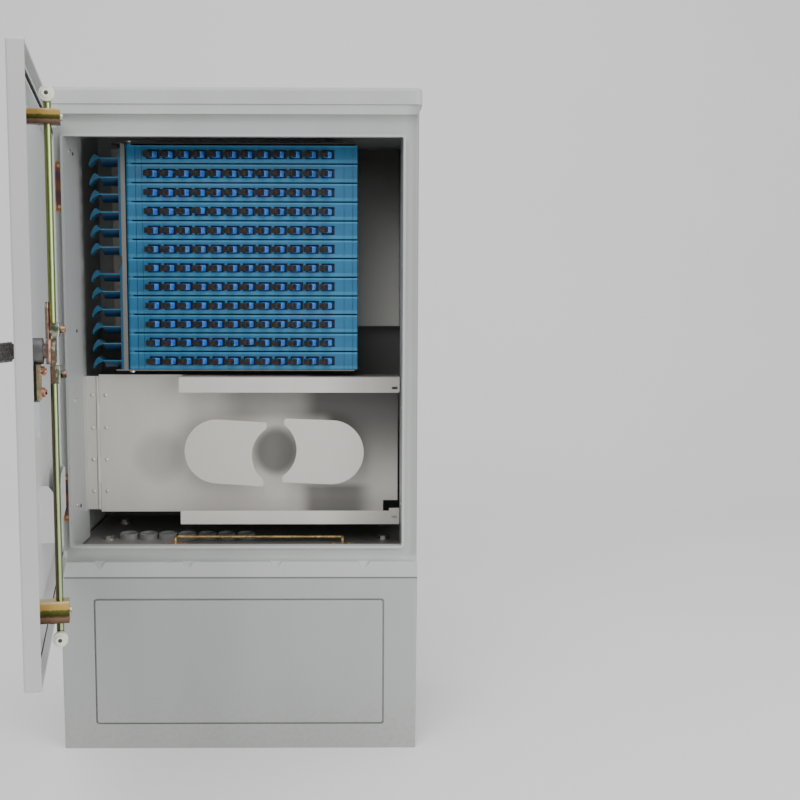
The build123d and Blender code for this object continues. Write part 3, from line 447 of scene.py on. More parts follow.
# %% Tray plastic
def tray_plastic(name, deep, pale):
    """Teal plastic: a painted highlight as a pale line along each tray's upper and lower edge, flow
    marks across, painted shade as a dark pocket behind the adapters, and a groove round the lid.
    Heights inside a tray run from 0 to 1."""
    paint = Paint(name)
    x, y, z = (paint.axis(letter) for letter in "XYZ")
    inside = paint.maths("FRACT", (z - TRAY_FOOT) / TRAY_PITCH, 0)
    # Painted highlight: pale bands on the upper and lower ledge of each tray.
    edge = paint.band(inside, (0.80, 0.88), (0.915, 0.935))
    foot = paint.band(inside, (0.02, 0.05), (0.16, 0.22))
    flow = paint.noise(30.0, 4.0, 0.6, (0.3, 1, 1))
    grain = paint.noise(700.0, 2.0, 0.5)
    colour = paint.mix(edge * 0.75 + foot * 0.45, paint.clouded(flow, deep, 0.85), pale)
    # Painted shade: the dark pocket behind the adapters.
    pocket_shade = paint.band(y, *POCKET_FRONT) * paint.fall(paint.off(x, 0), *POCKET_SIDE)
    pocket_shade = pocket_shade * paint.band(inside, (0.20, 0.23), (0.70, 0.72))
    colour = paint.mix(pocket_shade * 0.85, colour, srgb(12, 24, 48))
    past_x = paint.off(x, LID_MIDDLE[0]) - LID_HALF[0]
    past_y = paint.off(y, LID_MIDDLE[1]) - LID_HALF[1]
    groove = paint.fall(paint.off(paint.maths("MAXIMUM", past_x, past_y), 0), 0.0004, 0.0010)
    colour = paint.mix(groove * 0.7, colour, srgb(10, 40, 60))
    return paint.done(colour, flow * 0.15 + 0.30, height=grain - groove * 2, **PLASTIC_RELIEF)


teal = tray_plastic("tray_teal", srgb(30, 104, 146), srgb(66, 140, 178))
wear(teal, *(f"tray_{number:02d}" for number in range(1, TRAY_COUNT + 1)))

# %% [markdown]
# ## Fibre guides
# At the left of each tray a fin with a fishtail end leads the fibres down. The fins are of the same
# plastic, but only their front edges get much light, so their brightness is a painted highlight,
# and the deep blue of the skirt under them is painted shade.

# %% Guide plastic
SKIRT_ACROSS = ((-0.2242, -0.2236), (-0.1970, -0.1960))
FIN_ACROSS = ((-0.2262, -0.2242), (-0.1962, -0.1958))
FIN_FRONT = (-0.0658, -0.0655)


def guide_plastic(name, edge_highlight, tail_tone, skirt_shade):
    """Fibre guides: painted highlight on the front edges, teal tails, painted shade in deep blue
    under the fins.
    """
    paint = Paint(name)
    flow = paint.noise(60.0, 4.0, 0.6)
    grain = paint.noise(700.0, 2.0, 0.5)
    x = paint.axis("X")
    # Painted highlight on the front edges and painted shade on the skirt under the fins.
    front_highlight = paint.fall(paint.axis("Y"), *FIN_FRONT) * paint.band(x, *FIN_ACROSS)
    colour = paint.mix(paint.band(x, *SKIRT_ACROSS), tail_tone, skirt_shade)
    colour = paint.mix(front_highlight * 0.9, colour, edge_highlight)
    return paint.done(colour, flow * 0.15 + 0.30, height=grain, **PLASTIC_RELIEF)


guide_teal = guide_plastic("guide_teal", srgb(48, 120, 156), srgb(22, 76, 104), srgb(14, 50, 80))
wear(guide_teal, "fibre_guides")

# %% [markdown]
# ## Zinc in several colours
# The lock rods, brackets and hinges are steel with a passivated zinc layer. The layer is so thin
# that it shows interference colours: yellow and green on the rods, purple and orange on the hinges.
# Physics could work the colours out from a film's thickness, but a ramp of a few colours over noise
# or over a distance is easier to steer. Fine scratches are the same on all of them.

# %% Scratches that all zinc parts have
DRAWN = (1, 1, 0.08)  # scratches of a drawn part run upwards
SPLIT_HEIGHT = (0.60, 0.61)  # between the lower and the upper one of two equal parts


def scratches(paint, stretch=(1, 1, 1)):
    """Fine noise, used for the bump and the roughness."""
    return paint.noise(500.0, 2.0, 0.6, stretch)


def zinc_skin(paint, colour, scratch, rough, metal):
    """The closing shader of a zinc part."""
    worn = scratch * 0.18 + rough
    return paint.done(colour, worn, metal, height=scratch, bump=0.1, depth=0.0002)


print("scratches drawn out", round(1 / DRAWN[2], 1), "times")

# %% [markdown]
# ## Lock rods
# Each rod shows brown, light green and grey green stripes along its length, because a round bar
# mirrors a wide view in thin lines. A ramp across the rod draws them. The pin of each roller is a
# part of the rod, and its end wears a small cap of nylon.

# %% Olive film on the rods
OLIVE = (
    (0.1, srgb(112, 98, 82)), (0.40, srgb(88, 86, 62)), (0.58, srgb(166, 182, 130)),
    (0.78, srgb(166, 182, 132)), (0.92, srgb(88, 100, 78)),
)
ROD_FRONT, ROD_WIDTH = -0.127, 0.008
GREENER_SLOPE = (0.66, 0.72)
PIN_END_SLOPE = (0.2162, 0.2165)


def rod_plating(name, stops):
    """Olive film: a ramp across the rod, greener upwards, and a nylon cap on the pin's end."""
    paint = Paint(name)
    paint.unturn(DOOR_OPEN, *HINGE)
    film = paint.noise(60.0, 4.0, 0.6, (1, 1, 0.12))
    across = (paint.axis("Y") - ROD_FRONT) / ROD_WIDTH + film * 0.3 - 0.15
    upper = paint.step(paint.axis("Z"), *GREENER_SLOPE)
    colour = paint.mix(upper * 0.32, paint.ramp(across, stops), srgb(166, 190, 96))
    cap = paint.step(paint.axis("X"), *PIN_END_SLOPE)
    colour = paint.mix(cap, colour, srgb(236, 238, 222))
    return zinc_skin(paint, colour, scratches(paint, DRAWN), cap * 0.2 + 0.22, 1 - cap)


wear(rod_plating("rod_zinc", OLIVE), "upper_rod", "lower_rod")

# %% [markdown]
# ## Rod guides
# The two brackets that guide the rods were dipped upright, so their film lies in level bands, from
# dark brown at the foot to gold at the top. The bands follow the height and are bent by noise.

# %% Banded film on the rod guides
BANDS = (
    (0.02, srgb(96, 78, 66)), (0.24, srgb(140, 108, 84)), (0.34, srgb(70, 62, 44)),
    (0.40, srgb(70, 74, 40)), (0.58, srgb(104, 104, 50)), (0.64, srgb(196, 164, 92)),
    (0.86, srgb(206, 166, 96)), (0.96, srgb(226, 206, 158)),
)
UPPER_GUIDE, LOWER_GUIDE = (0.913, 0.016), (0.360, 0.025)  # foot and height


def banded_zinc(name, stops):
    """Colour bands over the height of each of the two rod guides, bent a little by noise."""
    paint = Paint(name)
    z = paint.axis("Z")
    high = paint.step(z, *SPLIT_HEIGHT)
    wave = paint.noise(130.0, 3.0, 0.6)
    upper = (z - UPPER_GUIDE[0]) / UPPER_GUIDE[1] * high
    lower = (z - LOWER_GUIDE[0]) / LOWER_GUIDE[1] * (1 - high)
    level = upper + lower + wave * 0.14 - 0.07
    return zinc_skin(paint, paint.ramp(level, stops), scratches(paint, DRAWN), 0.28, 1.0)


wear(banded_zinc("bracket_zinc", BANDS), "rod_guides")

# %% [markdown]
# ## Hinges
# Both hinges are brown at the middle, purple round it and orange towards their ends. The colour
# follows the distance from the middle of the hinge.

# %% Purple film on the hinges
PURPLE = (
    (0.0, srgb(160, 116, 82)), (0.25, srgb(128, 92, 96)), (0.45, srgb(122, 98, 112)),
    (0.65, srgb(150, 112, 92)), (0.85, srgb(190, 142, 80)), (0.97, srgb(206, 150, 76)),
)
HINGE_HEIGHTS, HINGE_HALF = (0.4035, 0.8875), 0.040


def hinge_film(name, stops):
    """Colours that change with the distance from the middle of each hinge."""
    paint = Paint(name)
    z = paint.axis("Z")
    lower, upper = HINGE_HEIGHTS
    middle = paint.step(z, *SPLIT_HEIGHT) * (upper - lower) + lower
    wave = paint.noise(110.0, 4.0, 0.6)
    away = paint.off(z, middle) / HINGE_HALF + wave * 0.4 - 0.2
    return zinc_skin(paint, paint.ramp(away, stops), scratches(paint, DRAWN), 0.3, 0.55)


wear(hinge_film("hinge_zinc", PURPLE), "frame_hinge_leaves", "door_hinge_leaves")

# %% [markdown]
# ## Crank and clamps
# The crank on the spindle and the clamps on the rods are stacks of plates that were plated one by
# one, so the front plates and the ones behind them have different films. Two ramps over the same
# noise, parted at a depth, show the stack. The screw heads at the inner side are darker.

# %% Parted film on the crank and the clamps
SPECKLED = (
    (0.3, srgb(92, 82, 74)), (0.45, srgb(150, 134, 118)),
    (0.55, srgb(120, 104, 98)), (0.7, srgb(184, 172, 156)),
)
COPPER = (
    (0.3, srgb(88, 62, 48)), (0.45, srgb(134, 100, 80)), (0.55, srgb(96, 86, 66)),
    (0.68, srgb(228, 208, 190)), (0.8, srgb(108, 74, 56)),
)
ROSE = (
    (0.3, srgb(120, 80, 70)), (0.45, srgb(214, 160, 140)),
    (0.6, srgb(236, 200, 184)), (0.72, srgb(110, 76, 66)),
)
GREEN_GREY = (
    (0.3, srgb(62, 72, 58)), (0.45, srgb(100, 112, 90)),
    (0.6, srgb(186, 186, 166)), (0.72, srgb(84, 90, 74)),
)
HEADS = ((0.42, srgb(40, 36, 34)), (0.6, srgb(190, 150, 130)))
HEADS_SLOPE = (-0.1154, -0.1151)


def parted_film(name, outer_stops, inner_stops, split):
    """Two films on one part: one on the door's side of a depth, another on its inner side."""
    paint = Paint(name)
    paint.unturn(DOOR_OPEN, *HINGE)
    film = paint.noise(120.0, 4.0, 0.6)
    y = paint.axis("Y")
    inner = paint.step(y + film * 0.001, split, split + 0.0006)
    colour = paint.mix(inner, paint.ramp(film, outer_stops), paint.ramp(film, inner_stops))
    colour = paint.mix(paint.step(y, *HEADS_SLOPE), colour, paint.ramp(film, HEADS))
    return zinc_skin(paint, colour, scratches(paint), 0.28, 1.0)


wear(parted_film("arm_zinc", SPECKLED, ROSE, -0.1274), "lock_spindle")
wear(parted_film("upper_clamp_zinc", COPPER, GREEN_GREY, -0.1236), "upper_rod_clamp")
wear(parted_film("lower_clamp_zinc", COPPER, GREEN_GREY, -0.1204), "lower_rod_clamp")

# %% [markdown]
# ## Cable tie bar
# The bent bar over the floor has a brass coloured film. Its left foot is a warmer pink, because the
# film is thinner there.

# %% Brass film on the tie bar
BRASS = (
    (0.3, srgb(176, 146, 92)), (0.45, srgb(226, 194, 136)),
    (0.55, srgb(160, 140, 88)), (0.7, srgb(244, 220, 170)),
)
LEFT_FOOT_SLOPE, FOOT_TOP_SLOPE = (-0.095, -0.090), (0.3146, 0.3150)


def bar_film(name, stops, foot):
    """Brass coloured film, with one foot of the bar in a warmer pink."""
    paint = Paint(name)
    film = paint.noise(60.0, 4.0, 0.6)
    low = paint.fall(paint.axis("Z"), *FOOT_TOP_SLOPE)
    left = paint.fall(paint.axis("X"), *LEFT_FOOT_SLOPE) * low
    colour = paint.mix(left * 0.8, paint.ramp(film, stops), foot)
    return zinc_skin(paint, colour, scratches(paint), 0.3, 0.6)


wear(bar_film("bar_zinc", BRASS, srgb(230, 150, 118)), "cable_tie_bar")

# %% [markdown]
# ## Satin plating
# The handle's parts are die castings with a satin plated skin, and the screws are bright zinc. A
# full metal shader does this. Soft clouds in the roughness keep the skin from looking like glass.

# %% Satin plating
SATIN = srgb(222, 224, 230)
CASTING_CLOUDS = (40.0, 3.0, 0.5)
CASTING_PEEL = (600.0, 1.0, 0.4)
FINE_RELIEF = {"bump": 0.05, "depth": 0.0002}


def satin_plate(name, tone, rough):
    """Plated casting: soft clouds in the roughness, tiny orange peel."""
    paint = Paint(name)
    clouds = paint.noise(*CASTING_CLOUDS)
    peel = paint.noise(*CASTING_PEEL)
    colour = paint.clouded(clouds, tone, 0.9)
    return paint.done(colour, clouds * 0.14 + rough, 1.0, height=peel, **FINE_RELIEF)


plated = satin_plate("plated", SATIN, 0.22)
screws = satin_plate("screws", srgb(214, 214, 208), 0.30)
wear(plated, "keyhole_cover", "release_button")
wear(screws, "tray_pivot_rod", "frame_screws")

# %% [markdown]
# ## Lever
# The lever is hollow at the back. The satin plating hardly reaches into that cavity, which is dark
# and speckled. The lever stands open, so its surface points are turned back twice: with the door,
# and then about the spindle.

# %% Lever with its cavity
LEVER_OPEN = 40.0  # degrees about the spindle
SPINDLE = (0.2075, -0.157)
LEVER_HEIGHT, CAVITY_HALF = 0.667, (0.0104, 0.0106)
CAVITY_SLOPE = (-0.1610, -0.1608)


def lever_plate(name, tone, inner_tone, rough):
    """Plated outside, and a dark speckled cavity between the lever's two side walls."""
    paint = Paint(name)
    paint.unturn(DOOR_OPEN, *HINGE)
    paint.unturn(LEVER_OPEN, *SPINDLE)
    clouds = paint.noise(*CASTING_CLOUDS)
    speckle = paint.noise(380.0, 3.0, 0.6)
    between_walls = paint.fall(paint.off(paint.axis("Z"), LEVER_HEIGHT), *CAVITY_HALF)
    cavity = paint.step(paint.axis("Y"), *CAVITY_SLOPE) * between_walls
    inner = paint.clouded(speckle, inner_tone, 0.7, low=0.4, high=0.65, light=1.5)
    colour = paint.mix(cavity, paint.clouded(clouds, tone, 0.9), inner)
    worn = clouds * 0.14 + cavity * 0.2 + rough
    return paint.done(colour, worn, 1 - cavity * 0.5, height=speckle, **FINE_RELIEF)


wear(lever_plate("lever_plate", SATIN, srgb(132, 130, 126), 0.22), "lever_handle")

# %% [markdown]
# ## Screws and nuts of the door
# All the door's screws are one CAD node. The nuts that hold the lock housing have a copper patina,
# and are found by their height.

# %% Door screws
NUT_HEIGHTS = ((0.610, 0.612), (0.654, 0.656))


def screw_plate(name, tone, nut_tone):
    """Bright screws, and copper coloured nuts at the height of the lock housing."""
    paint = Paint(name)
    peel = paint.noise(*CASTING_PEEL)
    nuts = paint.band(paint.axis("Z"), *NUT_HEIGHTS)
    patina = paint.noise(260.0, 3.0, 0.6)
    stops = ((0.36, srgb(48, 34, 30)), (0.5, nut_tone), (0.62, srgb(240, 200, 180)))
    bright = paint.mix(paint.step(patina, 0.5, 0.62), tone, srgb(150, 136, 92))
    colour = paint.mix(nuts, bright, paint.ramp(patina, stops))
    return paint.done(colour, peel * 0.1 + 0.26, 1.0, height=peel, **FINE_RELIEF)


door_screw_plate = screw_plate("door_screw_plate", srgb(206, 206, 200), srgb(190, 128, 104))
wear(door_screw_plate, "door_screws")

# %% [markdown]
# ## Lock housing and dish
# The housing is a grey drum over a dark back plate, with a gold bracket on the plate. The dish of
# the handle is bright outside the door and duller on its cast back, which shows inside the door.

# %% Lock housing
DRUM_SLOPE = (0.6515, 0.6525)
BRACKET_SLOPE = (-0.1414, -0.1410)


def housing_plate(name, drum, dark, gold):
    """Lock housing: a grey drum, and under it a dark plate with a gold bracket on it."""
    paint = Paint(name)
    paint.unturn(DOOR_OPEN, *HINGE)
    film = paint.noise(130.0, 4.0, 0.6)
    below = paint.fall(paint.axis("Z"), *DRUM_SLOPE)
    bracket = paint.step(paint.axis("Y"), *BRACKET_SLOPE)
    plate_tone = paint.mix(bracket, dark, paint.clouded(film, gold, 0.6, low=0.35))
    colour = paint.mix(below, paint.mix(film, shade(drum, 0.6), drum), plate_tone)
    relief = scratches(paint)
    return paint.done(colour, film * 0.14 + 0.32, 1.0, height=relief, bump=0.08, depth=0.0002)


housing = housing_plate("housing", srgb(140, 140, 140), srgb(62, 62, 50), srgb(206, 188, 150))
wear(housing, "lock_housing")

# %% Dish of the handle
DISH_BACK_SLOPE = (-0.1480, -0.1470)


def dish_plate(name, tone):
    """Plated dish: mirror like outside the door, duller and paler on the cast back."""
    paint = Paint(name)
    paint.unturn(DOOR_OPEN, *HINGE)
    clouds = paint.noise(*CASTING_CLOUDS)
    peel = paint.noise(*CASTING_PEEL)
    back = paint.step(paint.axis("Y"), *DISH_BACK_SLOPE)
    colour = paint.clouded(clouds, tone, 0.9)
    worn = clouds * 0.14 + back * 0.2 + 0.22
    return paint.done(colour, worn, 1 - back * 0.6, height=peel, **FINE_RELIEF)


wear(dish_plate("dish_plate", SATIN), "handle_escutcheon")

# %% [markdown]
# ## Nylon and rubber
# The rollers are off white nylon. The door seal is a black foam with open pores, and the cable
# glands are a harder grey rubber. The three differ only in tone, gloss and the size of the pores,
# so one function makes them all.


# %% Nylon and rubber
def soft_plastic(name, tone, rough, pore, bump):
    """Nylon or rubber: pores as a bump, a faint mottle in the tone."""
    paint = Paint(name)
    mottle = paint.noise(120.0, 4.0, 0.6)
    pores = paint.noise(pore, 3.0, 0.6)
    colour = paint.clouded(mottle, tone, 0.84)
    return paint.done(colour, mottle * 0.1 + rough, height=pores, bump=bump, depth=0.0004)


nylon = soft_plastic("nylon", srgb(238, 240, 224), 0.42, 300.0, 0.1)
foam = soft_plastic("foam", srgb(38, 38, 40), 0.85, 900.0, 0.6)
gland_rubber = soft_plastic("gland_rubber", srgb(138, 138, 137), 0.5, 500.0, 0.2)
wear(nylon, "upper_roller", "lower_roller")
wear(foam, "door_gasket")
wear(gland_rubber, "cable_glands")

# %% [markdown]
# ## Surfaces from arrays
# The added pieces are tubes: a closed section carried along a path, with both ends closed. All the
# points are worked out at once, and the faces follow from the order of the points.


# %% From a grid of points to a mesh
def tube_faces(tubes, rings, points):
    """Quads between neighbouring rings of each tube, and one face on each end. Point p of ring r
    of tube t has the number (t * rings + r) * points + p."""
    t, r, p = np.meshgrid(np.arange(tubes), np.arange(rings - 1), np.arange(points), indexing="ij")
    start = (t * rings + r) * points
    after = (p + 1) % points
    quads = np.stack((start + p, start + after, start + points + after, start + points + p), -1)
    ends = np.arange(tubes)[:, None] * rings * points + np.arange(points)[None, :]
    first = ends[:, ::-1]
    last = ends + (rings - 1) * points
    return quads.reshape(-1, 4).tolist() + first.tolist() + last.tolist()


def put_tubes(name, points, body, material):
    """Makes a piece from an array of tubes, rings, points and xyz, in metres. The tubes face
    outwards, and the piece rides on a CAD body."""
    mesh = bpy.data.meshes.new(name)
    mesh.from_pydata(points.reshape(-1, 3).tolist(), [], tube_faces(*points.shape[:3]))
    mesh.materials.append(material)
    piece = bpy.data.objects.new(name, mesh)
    bpy.context.scene.collection.objects.link(piece)
    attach(piece, body)
    return piece


print("faces of a tube of 3 rings of 4 points:", len(tube_faces(1, 3, 4)))

# %% [markdown]
# ## Profile of an adapter
# Each tray holds twelve blue adapters that lean to the left, each closed by a black cap. An
# adapter is a rounded rectangle carried along its own leaning axis. The half width and half height
# change from ring to ring: a collar at the tray, a slimmer waist, a collar at the mouth, then the
# cap. A box with bevels would need many modifiers for the same steps.

# %% Rings of one adapter and its cap
PORT_COUNT = 12
LEAN = math.radians(30)
PORT_X = (-139.6 + 25.35 * np.arange(PORT_COUNT)) / 1000
PORT_Y = -0.066
PORT_Z = 0.0133  # above the tray's under side
RAISED = {4: 3, 5: 11, 11: 6}  # tray number and port of an adapter that sits a little high
RAISED_BY = 0.0016
# Distance along the axis, half width and half height, in millimetres
BLUE_RINGS = np.array([
    (-3.0, 4.9, 4.7), (-2.8, 5.3, 5.1), (1.2, 5.3, 5.1), (1.5, 4.9, 4.7), (3.2, 4.9, 4.7),
    (3.4, 5.3, 5.1), (7.2, 5.3, 5.1), (7.5, 5.1, 4.9), (7.55, 4.5, 4.3),
])
CAP_RINGS = np.array([
    (7.6, 4.9, 4.5), (7.9, 5.1, 4.7), (10.4, 5.1, 4.7), (10.7, 4.8, 4.4), (11.6, 4.8, 4.4),
    (11.9, 5.1, 4.7), (16.2, 5.0, 4.6), (16.4, 4.7, 4.3), (16.8, 4.7, 4.3), (17.0, 5.0, 4.6),
    (19.1, 5.0, 4.6), (19.5, 4.5, 4.1),
])
SECTION_POINTS = 20
print("adapter with its cap stands out by", CAP_RINGS[-1, 0], "mm along its axis")


# %% Rounded section
def rounded_section():
    """Rounded rectangle of half size 1: cosine and sine, each to the power 0.3, signs kept."""
    angle = (np.arange(SECTION_POINTS) + 0.5) / SECTION_POINTS * 2 * np.pi
    flat = np.stack((np.cos(angle), np.sin(angle)), -1)
    return np.sign(flat) * np.abs(flat) ** 0.3


print("section reaches", round(float(rounded_section().max()), 3))

# %% [markdown]
# ## Adapter plastics
# Adapters and caps are small glossy mouldings. The plastic is lighter where it flowed thin, so two
# tones are mixed by noise.


# %% Adapter blue and cap black
def adapter_plastic(name, tone, pale, rough):
    """Glossy moulded plastic: a lighter skin where the flow is thin, very fine grain."""
    paint = Paint(name)
    flow = paint.noise(160.0, 3.0, 0.6)
    grain = paint.noise(1200.0, 2.0, 0.5)
    colour = paint.mix(paint.step(flow, 0.35, 0.75), tone, pale)
    return paint.done(colour, flow * 0.12 + rough, height=grain, **FINE_RELIEF)


adapter_blue = adapter_plastic("adapter_blue", srgb(44, 118, 222), srgb(84, 156, 242), 0.26)
cap_black = adapter_plastic("cap_black", srgb(26, 24, 26), srgb(52, 44, 42), 0.38)
print("adapter finishes:", adapter_blue.name, cap_black.name)

# %% [markdown]
# ## Twelve rows of adapters
# A row is one mesh of twelve equal tubes that rides on its tray and takes the place of the plain
# blocks of the CAD model. The caps are a second mesh, because they can be pulled off.


# %% Rows of adapters
def adapter_row(lift, raised, rings):
    """Rings times section, turned to lean left: out along (-sin, -cos), across along (cos, -sin).
    A copy of that tube stands at each port."""
    section = rounded_section()
    out = np.array((-math.sin(LEAN), -math.cos(LEAN), 0.0))
    across = np.array((math.cos(LEAN), -math.sin(LEAN), 0.0))
    up = np.array((0.0, 0.0, 1.0))
    shape = (
        rings[:, None, 0:1] * out
        + rings[:, None, 1:2] * section[None, :, 0:1] * across
        + rings[:, None, 2:3] * section[None, :, 1:2] * up
    ) / 1000
    level = np.full(PORT_COUNT, lift + PORT_Z)
    if raised is not None:
        level[raised] += RAISED_BY
    feet = np.stack((PORT_X, np.full(PORT_COUNT, PORT_Y), level), -1)
    return feet[:, None, None, :] + shape[None]


for number in range(1, TRAY_COUNT + 1):
    lift = TRAY_FOOT + TRAY_PITCH * (TRAY_COUNT - number)
    raised = RAISED.get(number)
    body = f"tray_set_{number:02d}"
    blue = adapter_row(lift, raised, BLUE_RINGS)
    caps = adapter_row(lift, raised, CAP_RINGS)
    row = put_tubes(f"adapter_row_{number:02d}", blue, body, adapter_blue)
    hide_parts(f"adapters_{number:02d}")
    put_tubes(f"dust_caps_{number:02d}", caps, body, cap_black)
print("adapters:", TRAY_COUNT * PORT_COUNT)

# %% [markdown]
# ## Domed heads
# A rivet or a round screw head is a low dome. A scaled ball would waste its lower half, so the dome
# is a quarter circle turned about its axis, with one ring sunk under the surface it sits on.

# %% Domes
DOME_ANGLES = np.radians(np.array((0, 0, 25, 50, 72, 86)))
DOME_POINTS = 16
SUNK = 0.0002


def domes(centres, towards, radius, rise):
    """Rings of a dome: radius times cos a, and rise times sin a, for a from 0 to nearly 90 degrees.
    The rings are closed by two directions square to the one that the dome looks in."""
    out = np.sin(DOME_ANGLES) * rise
    out[0] = -SUNK
    turn = np.arange(DOME_POINTS) / DOME_POINTS * 2 * np.pi
    towards = np.array(towards, float)
    side = np.cross(towards, (0.0, 0.0, 1.0))
    other = np.cross(towards, side)
    circle = np.cos(turn)[:, None] * side + np.sin(turn)[:, None] * other
    ring = np.cos(DOME_ANGLES)[:, None, None] * radius * circle + out[:, None, None] * towards
    return np.array(centres, float)[:, None, None, :] + ring[None]


print("points of one dome:", domes([(0, 0, 0)], (0, -1, 0), 1, 1).size // 3)

# %% [markdown]
# ## Rivets of the storage panel
# The panel hangs on a leaf. Four rivets hold the leaf to the cabinet and four hold the panel to the
# leaf, so they are two pieces that ride on different bodies.

# %% Rivets
RIVET_HEIGHTS = (0.5555, 0.5012, 0.4477, 0.3946)
PANEL_FRONT = -0.040
RIVET = (0.0030, 0.0016)  # radius and rise of the head
forward = (0, -1, 0)
panel_rivets = domes([(-0.230, PANEL_FRONT, z) for z in RIVET_HEIGHTS], forward, *RIVET)
leaf_rivets = domes([(-0.252, PANEL_FRONT, z) for z in RIVET_HEIGHTS], forward, *RIVET)
put_tubes("panel_rivets", panel_rivets, "swing_panel", screws)
put_tubes("leaf_rivets", leaf_rivets, "cabinet", screws)
print("rivets:", len(panel_rivets) + len(leaf_rivets))

# %% [markdown]
# ## Screws in the side walls
# Three small screws show on the inner side of each side wall, near its front edge.

# %% Wall screws
LEFT_WALL, RIGHT_WALL = -0.2620, 0.2568
WALL_SCREW_Y = -0.105
WALL_SCREW = (0.0034, 0.0016)
left_places = [(LEFT_WALL, WALL_SCREW_Y, z) for z in (0.944, 0.554, 0.385)]
right_places = [(RIGHT_WALL, WALL_SCREW_Y, z) for z in (0.770, 0.543, 0.387)]
left_screws = domes(left_places, (1, 0, 0), *WALL_SCREW)
right_screws = domes(right_places, (-1, 0, 0), *WALL_SCREW)
put_tubes("left_wall_screws", left_screws, "cabinet", screws)
put_tubes("right_wall_screws", right_screws, "cabinet", screws)
print("wall screws:", len(left_screws) + len(right_screws))

# %% [markdown]
# ## Screws in the roller pins
# A dark screw holds the nylon cap on each roller pin. Its place is measured on the closed door and
# then turned about the hinge to the open one.

# %% Cap screws
CAP_SCREW = (0.0024, 0.0010)
CAP_X, CAP_Y = 0.2184, -0.123
CAP_HEIGHTS = {"upper": 0.945, "lower": 0.341}


def door_spot(x, y, z):
    """A place on the closed door turned to where the open door stands."""
    a = math.radians(-DOOR_OPEN)
    dx, dy = x - HINGE[0], y - HINGE[1]
    turned_x = HINGE[0] + dx * math.cos(a) - dy * math.sin(a)
    turned_y = HINGE[1] + dx * math.sin(a) + dy * math.cos(a)
    return (turned_x, turned_y, z)


outward = (math.cos(math.radians(DOOR_OPEN)), -math.sin(math.radians(DOOR_OPEN)), 0.0)
cap_screw = soft_plastic("cap_screw", srgb(60, 62, 54), 0.4, 500.0, 0.1)
for label, height in CAP_HEIGHTS.items():
    head = domes([door_spot(CAP_X, CAP_Y, height)], outward, *CAP_SCREW)
    put_tubes(f"{label}_cap_screw", head, f"{label}_rod_set", cap_screw)
print("cap screws:", len(CAP_HEIGHTS))

# %% [markdown]
# ## Plugs in the left wall
# Three flat rubber plugs close unused holes in the left wall. They are the adapters' rounded
# section again, carried over half a millimetre.

# %% Wall plugs
PLUG_HALF, PLUG_RISE = 0.0026, 0.0005
PLUG_Y = -0.0870


def plugs(centres, half, rise):
    """Flat rounded pads on the left wall: the rounded section in y and z, carried along x."""
    section = rounded_section()
    rings = np.array(((-SUNK, half), (rise, half), (rise * 1.6, half * 0.8)))
    shape = np.zeros((len(rings), SECTION_POINTS, 3))
    shape[:, :, 0] = rings[:, 0:1]
    shape[:, :, 1:] = rings[:, 1, None, None] * section[None]
    return np.array(centres)[:, None, None, :] + shape[None]


plug_places = [(LEFT_WALL, PLUG_Y, z) for z in (0.942, 0.6635, 0.380)]
wall_plugs = plugs(plug_places, PLUG_HALF, PLUG_RISE)
put_tubes("wall_plugs", wall_plugs, "cabinet", foam)
print("wall plugs:", len(wall_plugs))

# %% [markdown]
# ## Floor
# The floor is a pale sheet that curves up behind the object, as in a photo studio, so that no
# horizon shows. A flat plane and a wall would leave a line where they meet.

# %% Shape of the floor
FLOOR_HALF_WIDTH, FLOOR_FRONT, FLOOR_BACK = 8.0, -7.0, 3.0
FLOOR_TOP, FLOOR_BEND = 6.0, 1.5


def studio_sweep(half_width, front_y, back_y, height, bend):
    """Profile in y and z: flat, a quarter circle of the given bend, then up. It is carried along
    x."""
    turn = np.linspace(0, np.pi / 2, 24)
    y = np.concatenate(([front_y], back_y - bend + bend * np.sin(turn), [back_y]))
    z = np.concatenate(([0.0], bend - bend * np.cos(turn), [height]))
    x = np.linspace(-half_width, half_width, 3)
    grid = np.stack(np.broadcast_arrays(x[:, None], y[None], z[None]), -1)
    columns, rows = np.meshgrid(np.arange(2), np.arange(len(y) - 1), indexing="ij")
    start = columns * len(y) + rows
    faces = np.stack((start, start + len(y), start + len(y) + 1, start + 1), -1)
    return grid, faces.reshape(-1, 4).tolist()


sweep_points, sweep_faces = studio_sweep(
    FLOOR_HALF_WIDTH, FLOOR_FRONT, FLOOR_BACK, FLOOR_TOP, FLOOR_BEND
)
print("floor faces:", len(sweep_faces))

# %% Floor in the scene
floor_paint = Paint("floor")
floor_cloud = floor_paint.noise(1.5, 2.0, 0.5)
floor_tone = floor_paint.mix(floor_cloud, srgb(236, 236, 236), srgb(242, 242, 242))
floor_mesh = bpy.data.meshes.new("floor")
floor_mesh.from_pydata(sweep_points.reshape(-1, 3).tolist(), [], sweep_faces)
floor_mesh.polygons.foreach_set("use_smooth", np.ones(len(sweep_faces), bool))
floor_mesh.materials.append(floor_paint.done(floor_tone, 0.7))
floor = bpy.data.objects.new("floor", floor_mesh)
bpy.context.scene.collection.objects.link(floor)
print("floor is", 2 * FLOOR_HALF_WIDTH, "m wide")

# %% [markdown]
# ## Lights
# The light is that of an overcast day. Three large soft lights, one at each side of the camera
# and one above, and a bright plain world give that: shadows with soft rims, and a well lit inside.


# %% Lights
def soft_light(name, place, target, size, power):
    """A square soft light that looks at a point, with its size in metres and its power in watts."""
    lamp = bpy.data.lights.new(name, "AREA")
    lamp.size = size
    lamp.energy = power
    lamp.color = (1.0, 0.995, 0.985)
    holder = bpy.data.objects.new(name, lamp)
    bpy.context.scene.collection.objects.link(holder)
    holder.location = place
    holder.rotation_euler = (Vector(target) - Vector(place)).to_track_quat("-Z", "Y").to_euler()


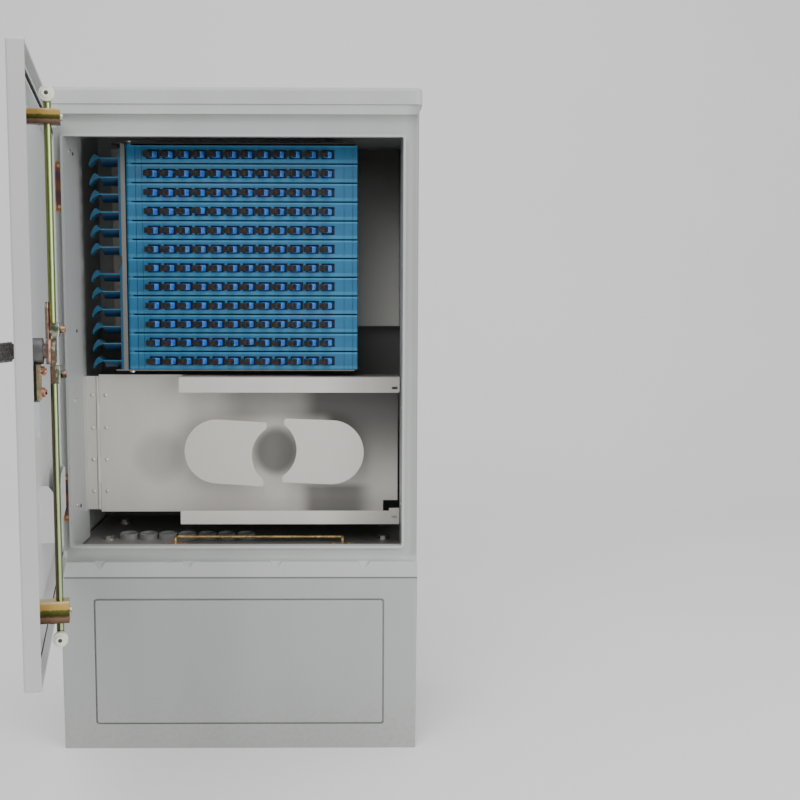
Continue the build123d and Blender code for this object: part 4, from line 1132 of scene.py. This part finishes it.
SKY = (0.93, 0.94, 0.95, 1)
SKY_STRENGTH = 0.64
soft_light("key", (-0.9, -3.2, 2.9), (0, 0, 0.6), 2.4, 66)
soft_light("fill", (2.9, -2.6, 1.4), (0, 0, 0.5), 2.4, 66)
soft_light("top", (0.0, -0.6, 3.4), (0, 0, 0.5), 3.0, 52)
world = bpy.data.worlds.new("studio")
world.use_nodes = True
background = world.node_tree.nodes["Background"]
background.inputs["Color"].default_value = SKY
background.inputs["Strength"].default_value = SKY_STRENGTH
bpy.context.scene.world = world
print("lights:", len(bpy.data.lights))

# %% [markdown]
# ## Camera
# The camera has the place, the turn and the lens that were worked out from the edges of the cabinet
# in the photograph. The photograph is cropped, so the point that the camera looks at isn't in the
# middle of the picture, and a small shift moves it there.

# %% Camera
# Measured in pixels of a picture 800 wide and 800 high
PICTURE = 800
FOCAL_LENGTH = 1060.83
MAIN_POINT = (366.57, 378.72)
SENSOR = 36.0  # millimetres
CAMERA_PLACE = (0.18587, -1.78594, 0.74572)
yaw, pitch, roll = (math.radians(angle) for angle in (0.52, 5.33, 0.09))
camera_data = bpy.data.cameras.new("camera")
camera = bpy.data.objects.new("camera", camera_data)
bpy.context.scene.collection.objects.link(camera)
bpy.context.scene.camera = camera
camera_data.sensor_width = SENSOR
camera_data.lens = FOCAL_LENGTH / PICTURE * SENSOR
camera_data.shift_x = (PICTURE / 2 - MAIN_POINT[0]) / PICTURE
camera_data.shift_y = (MAIN_POINT[1] - PICTURE / 2) / PICTURE
flat = math.cos(pitch)
look = Vector((math.sin(yaw) * flat, math.cos(yaw) * flat, -math.sin(pitch)))
level = Vector((math.cos(yaw), -math.sin(yaw), 0))
above = level.cross(look)
right = level * math.cos(roll) + above * math.sin(roll)
above = above * math.cos(roll) - level * math.sin(roll)
turned = Matrix((right, above, -look)).transposed()
camera.matrix_world = Matrix.Translation(CAMERA_PLACE) @ turned.to_4x4()
print("camera at", tuple(round(v, 4) for v in camera.location))

# %% [markdown] ## Finish
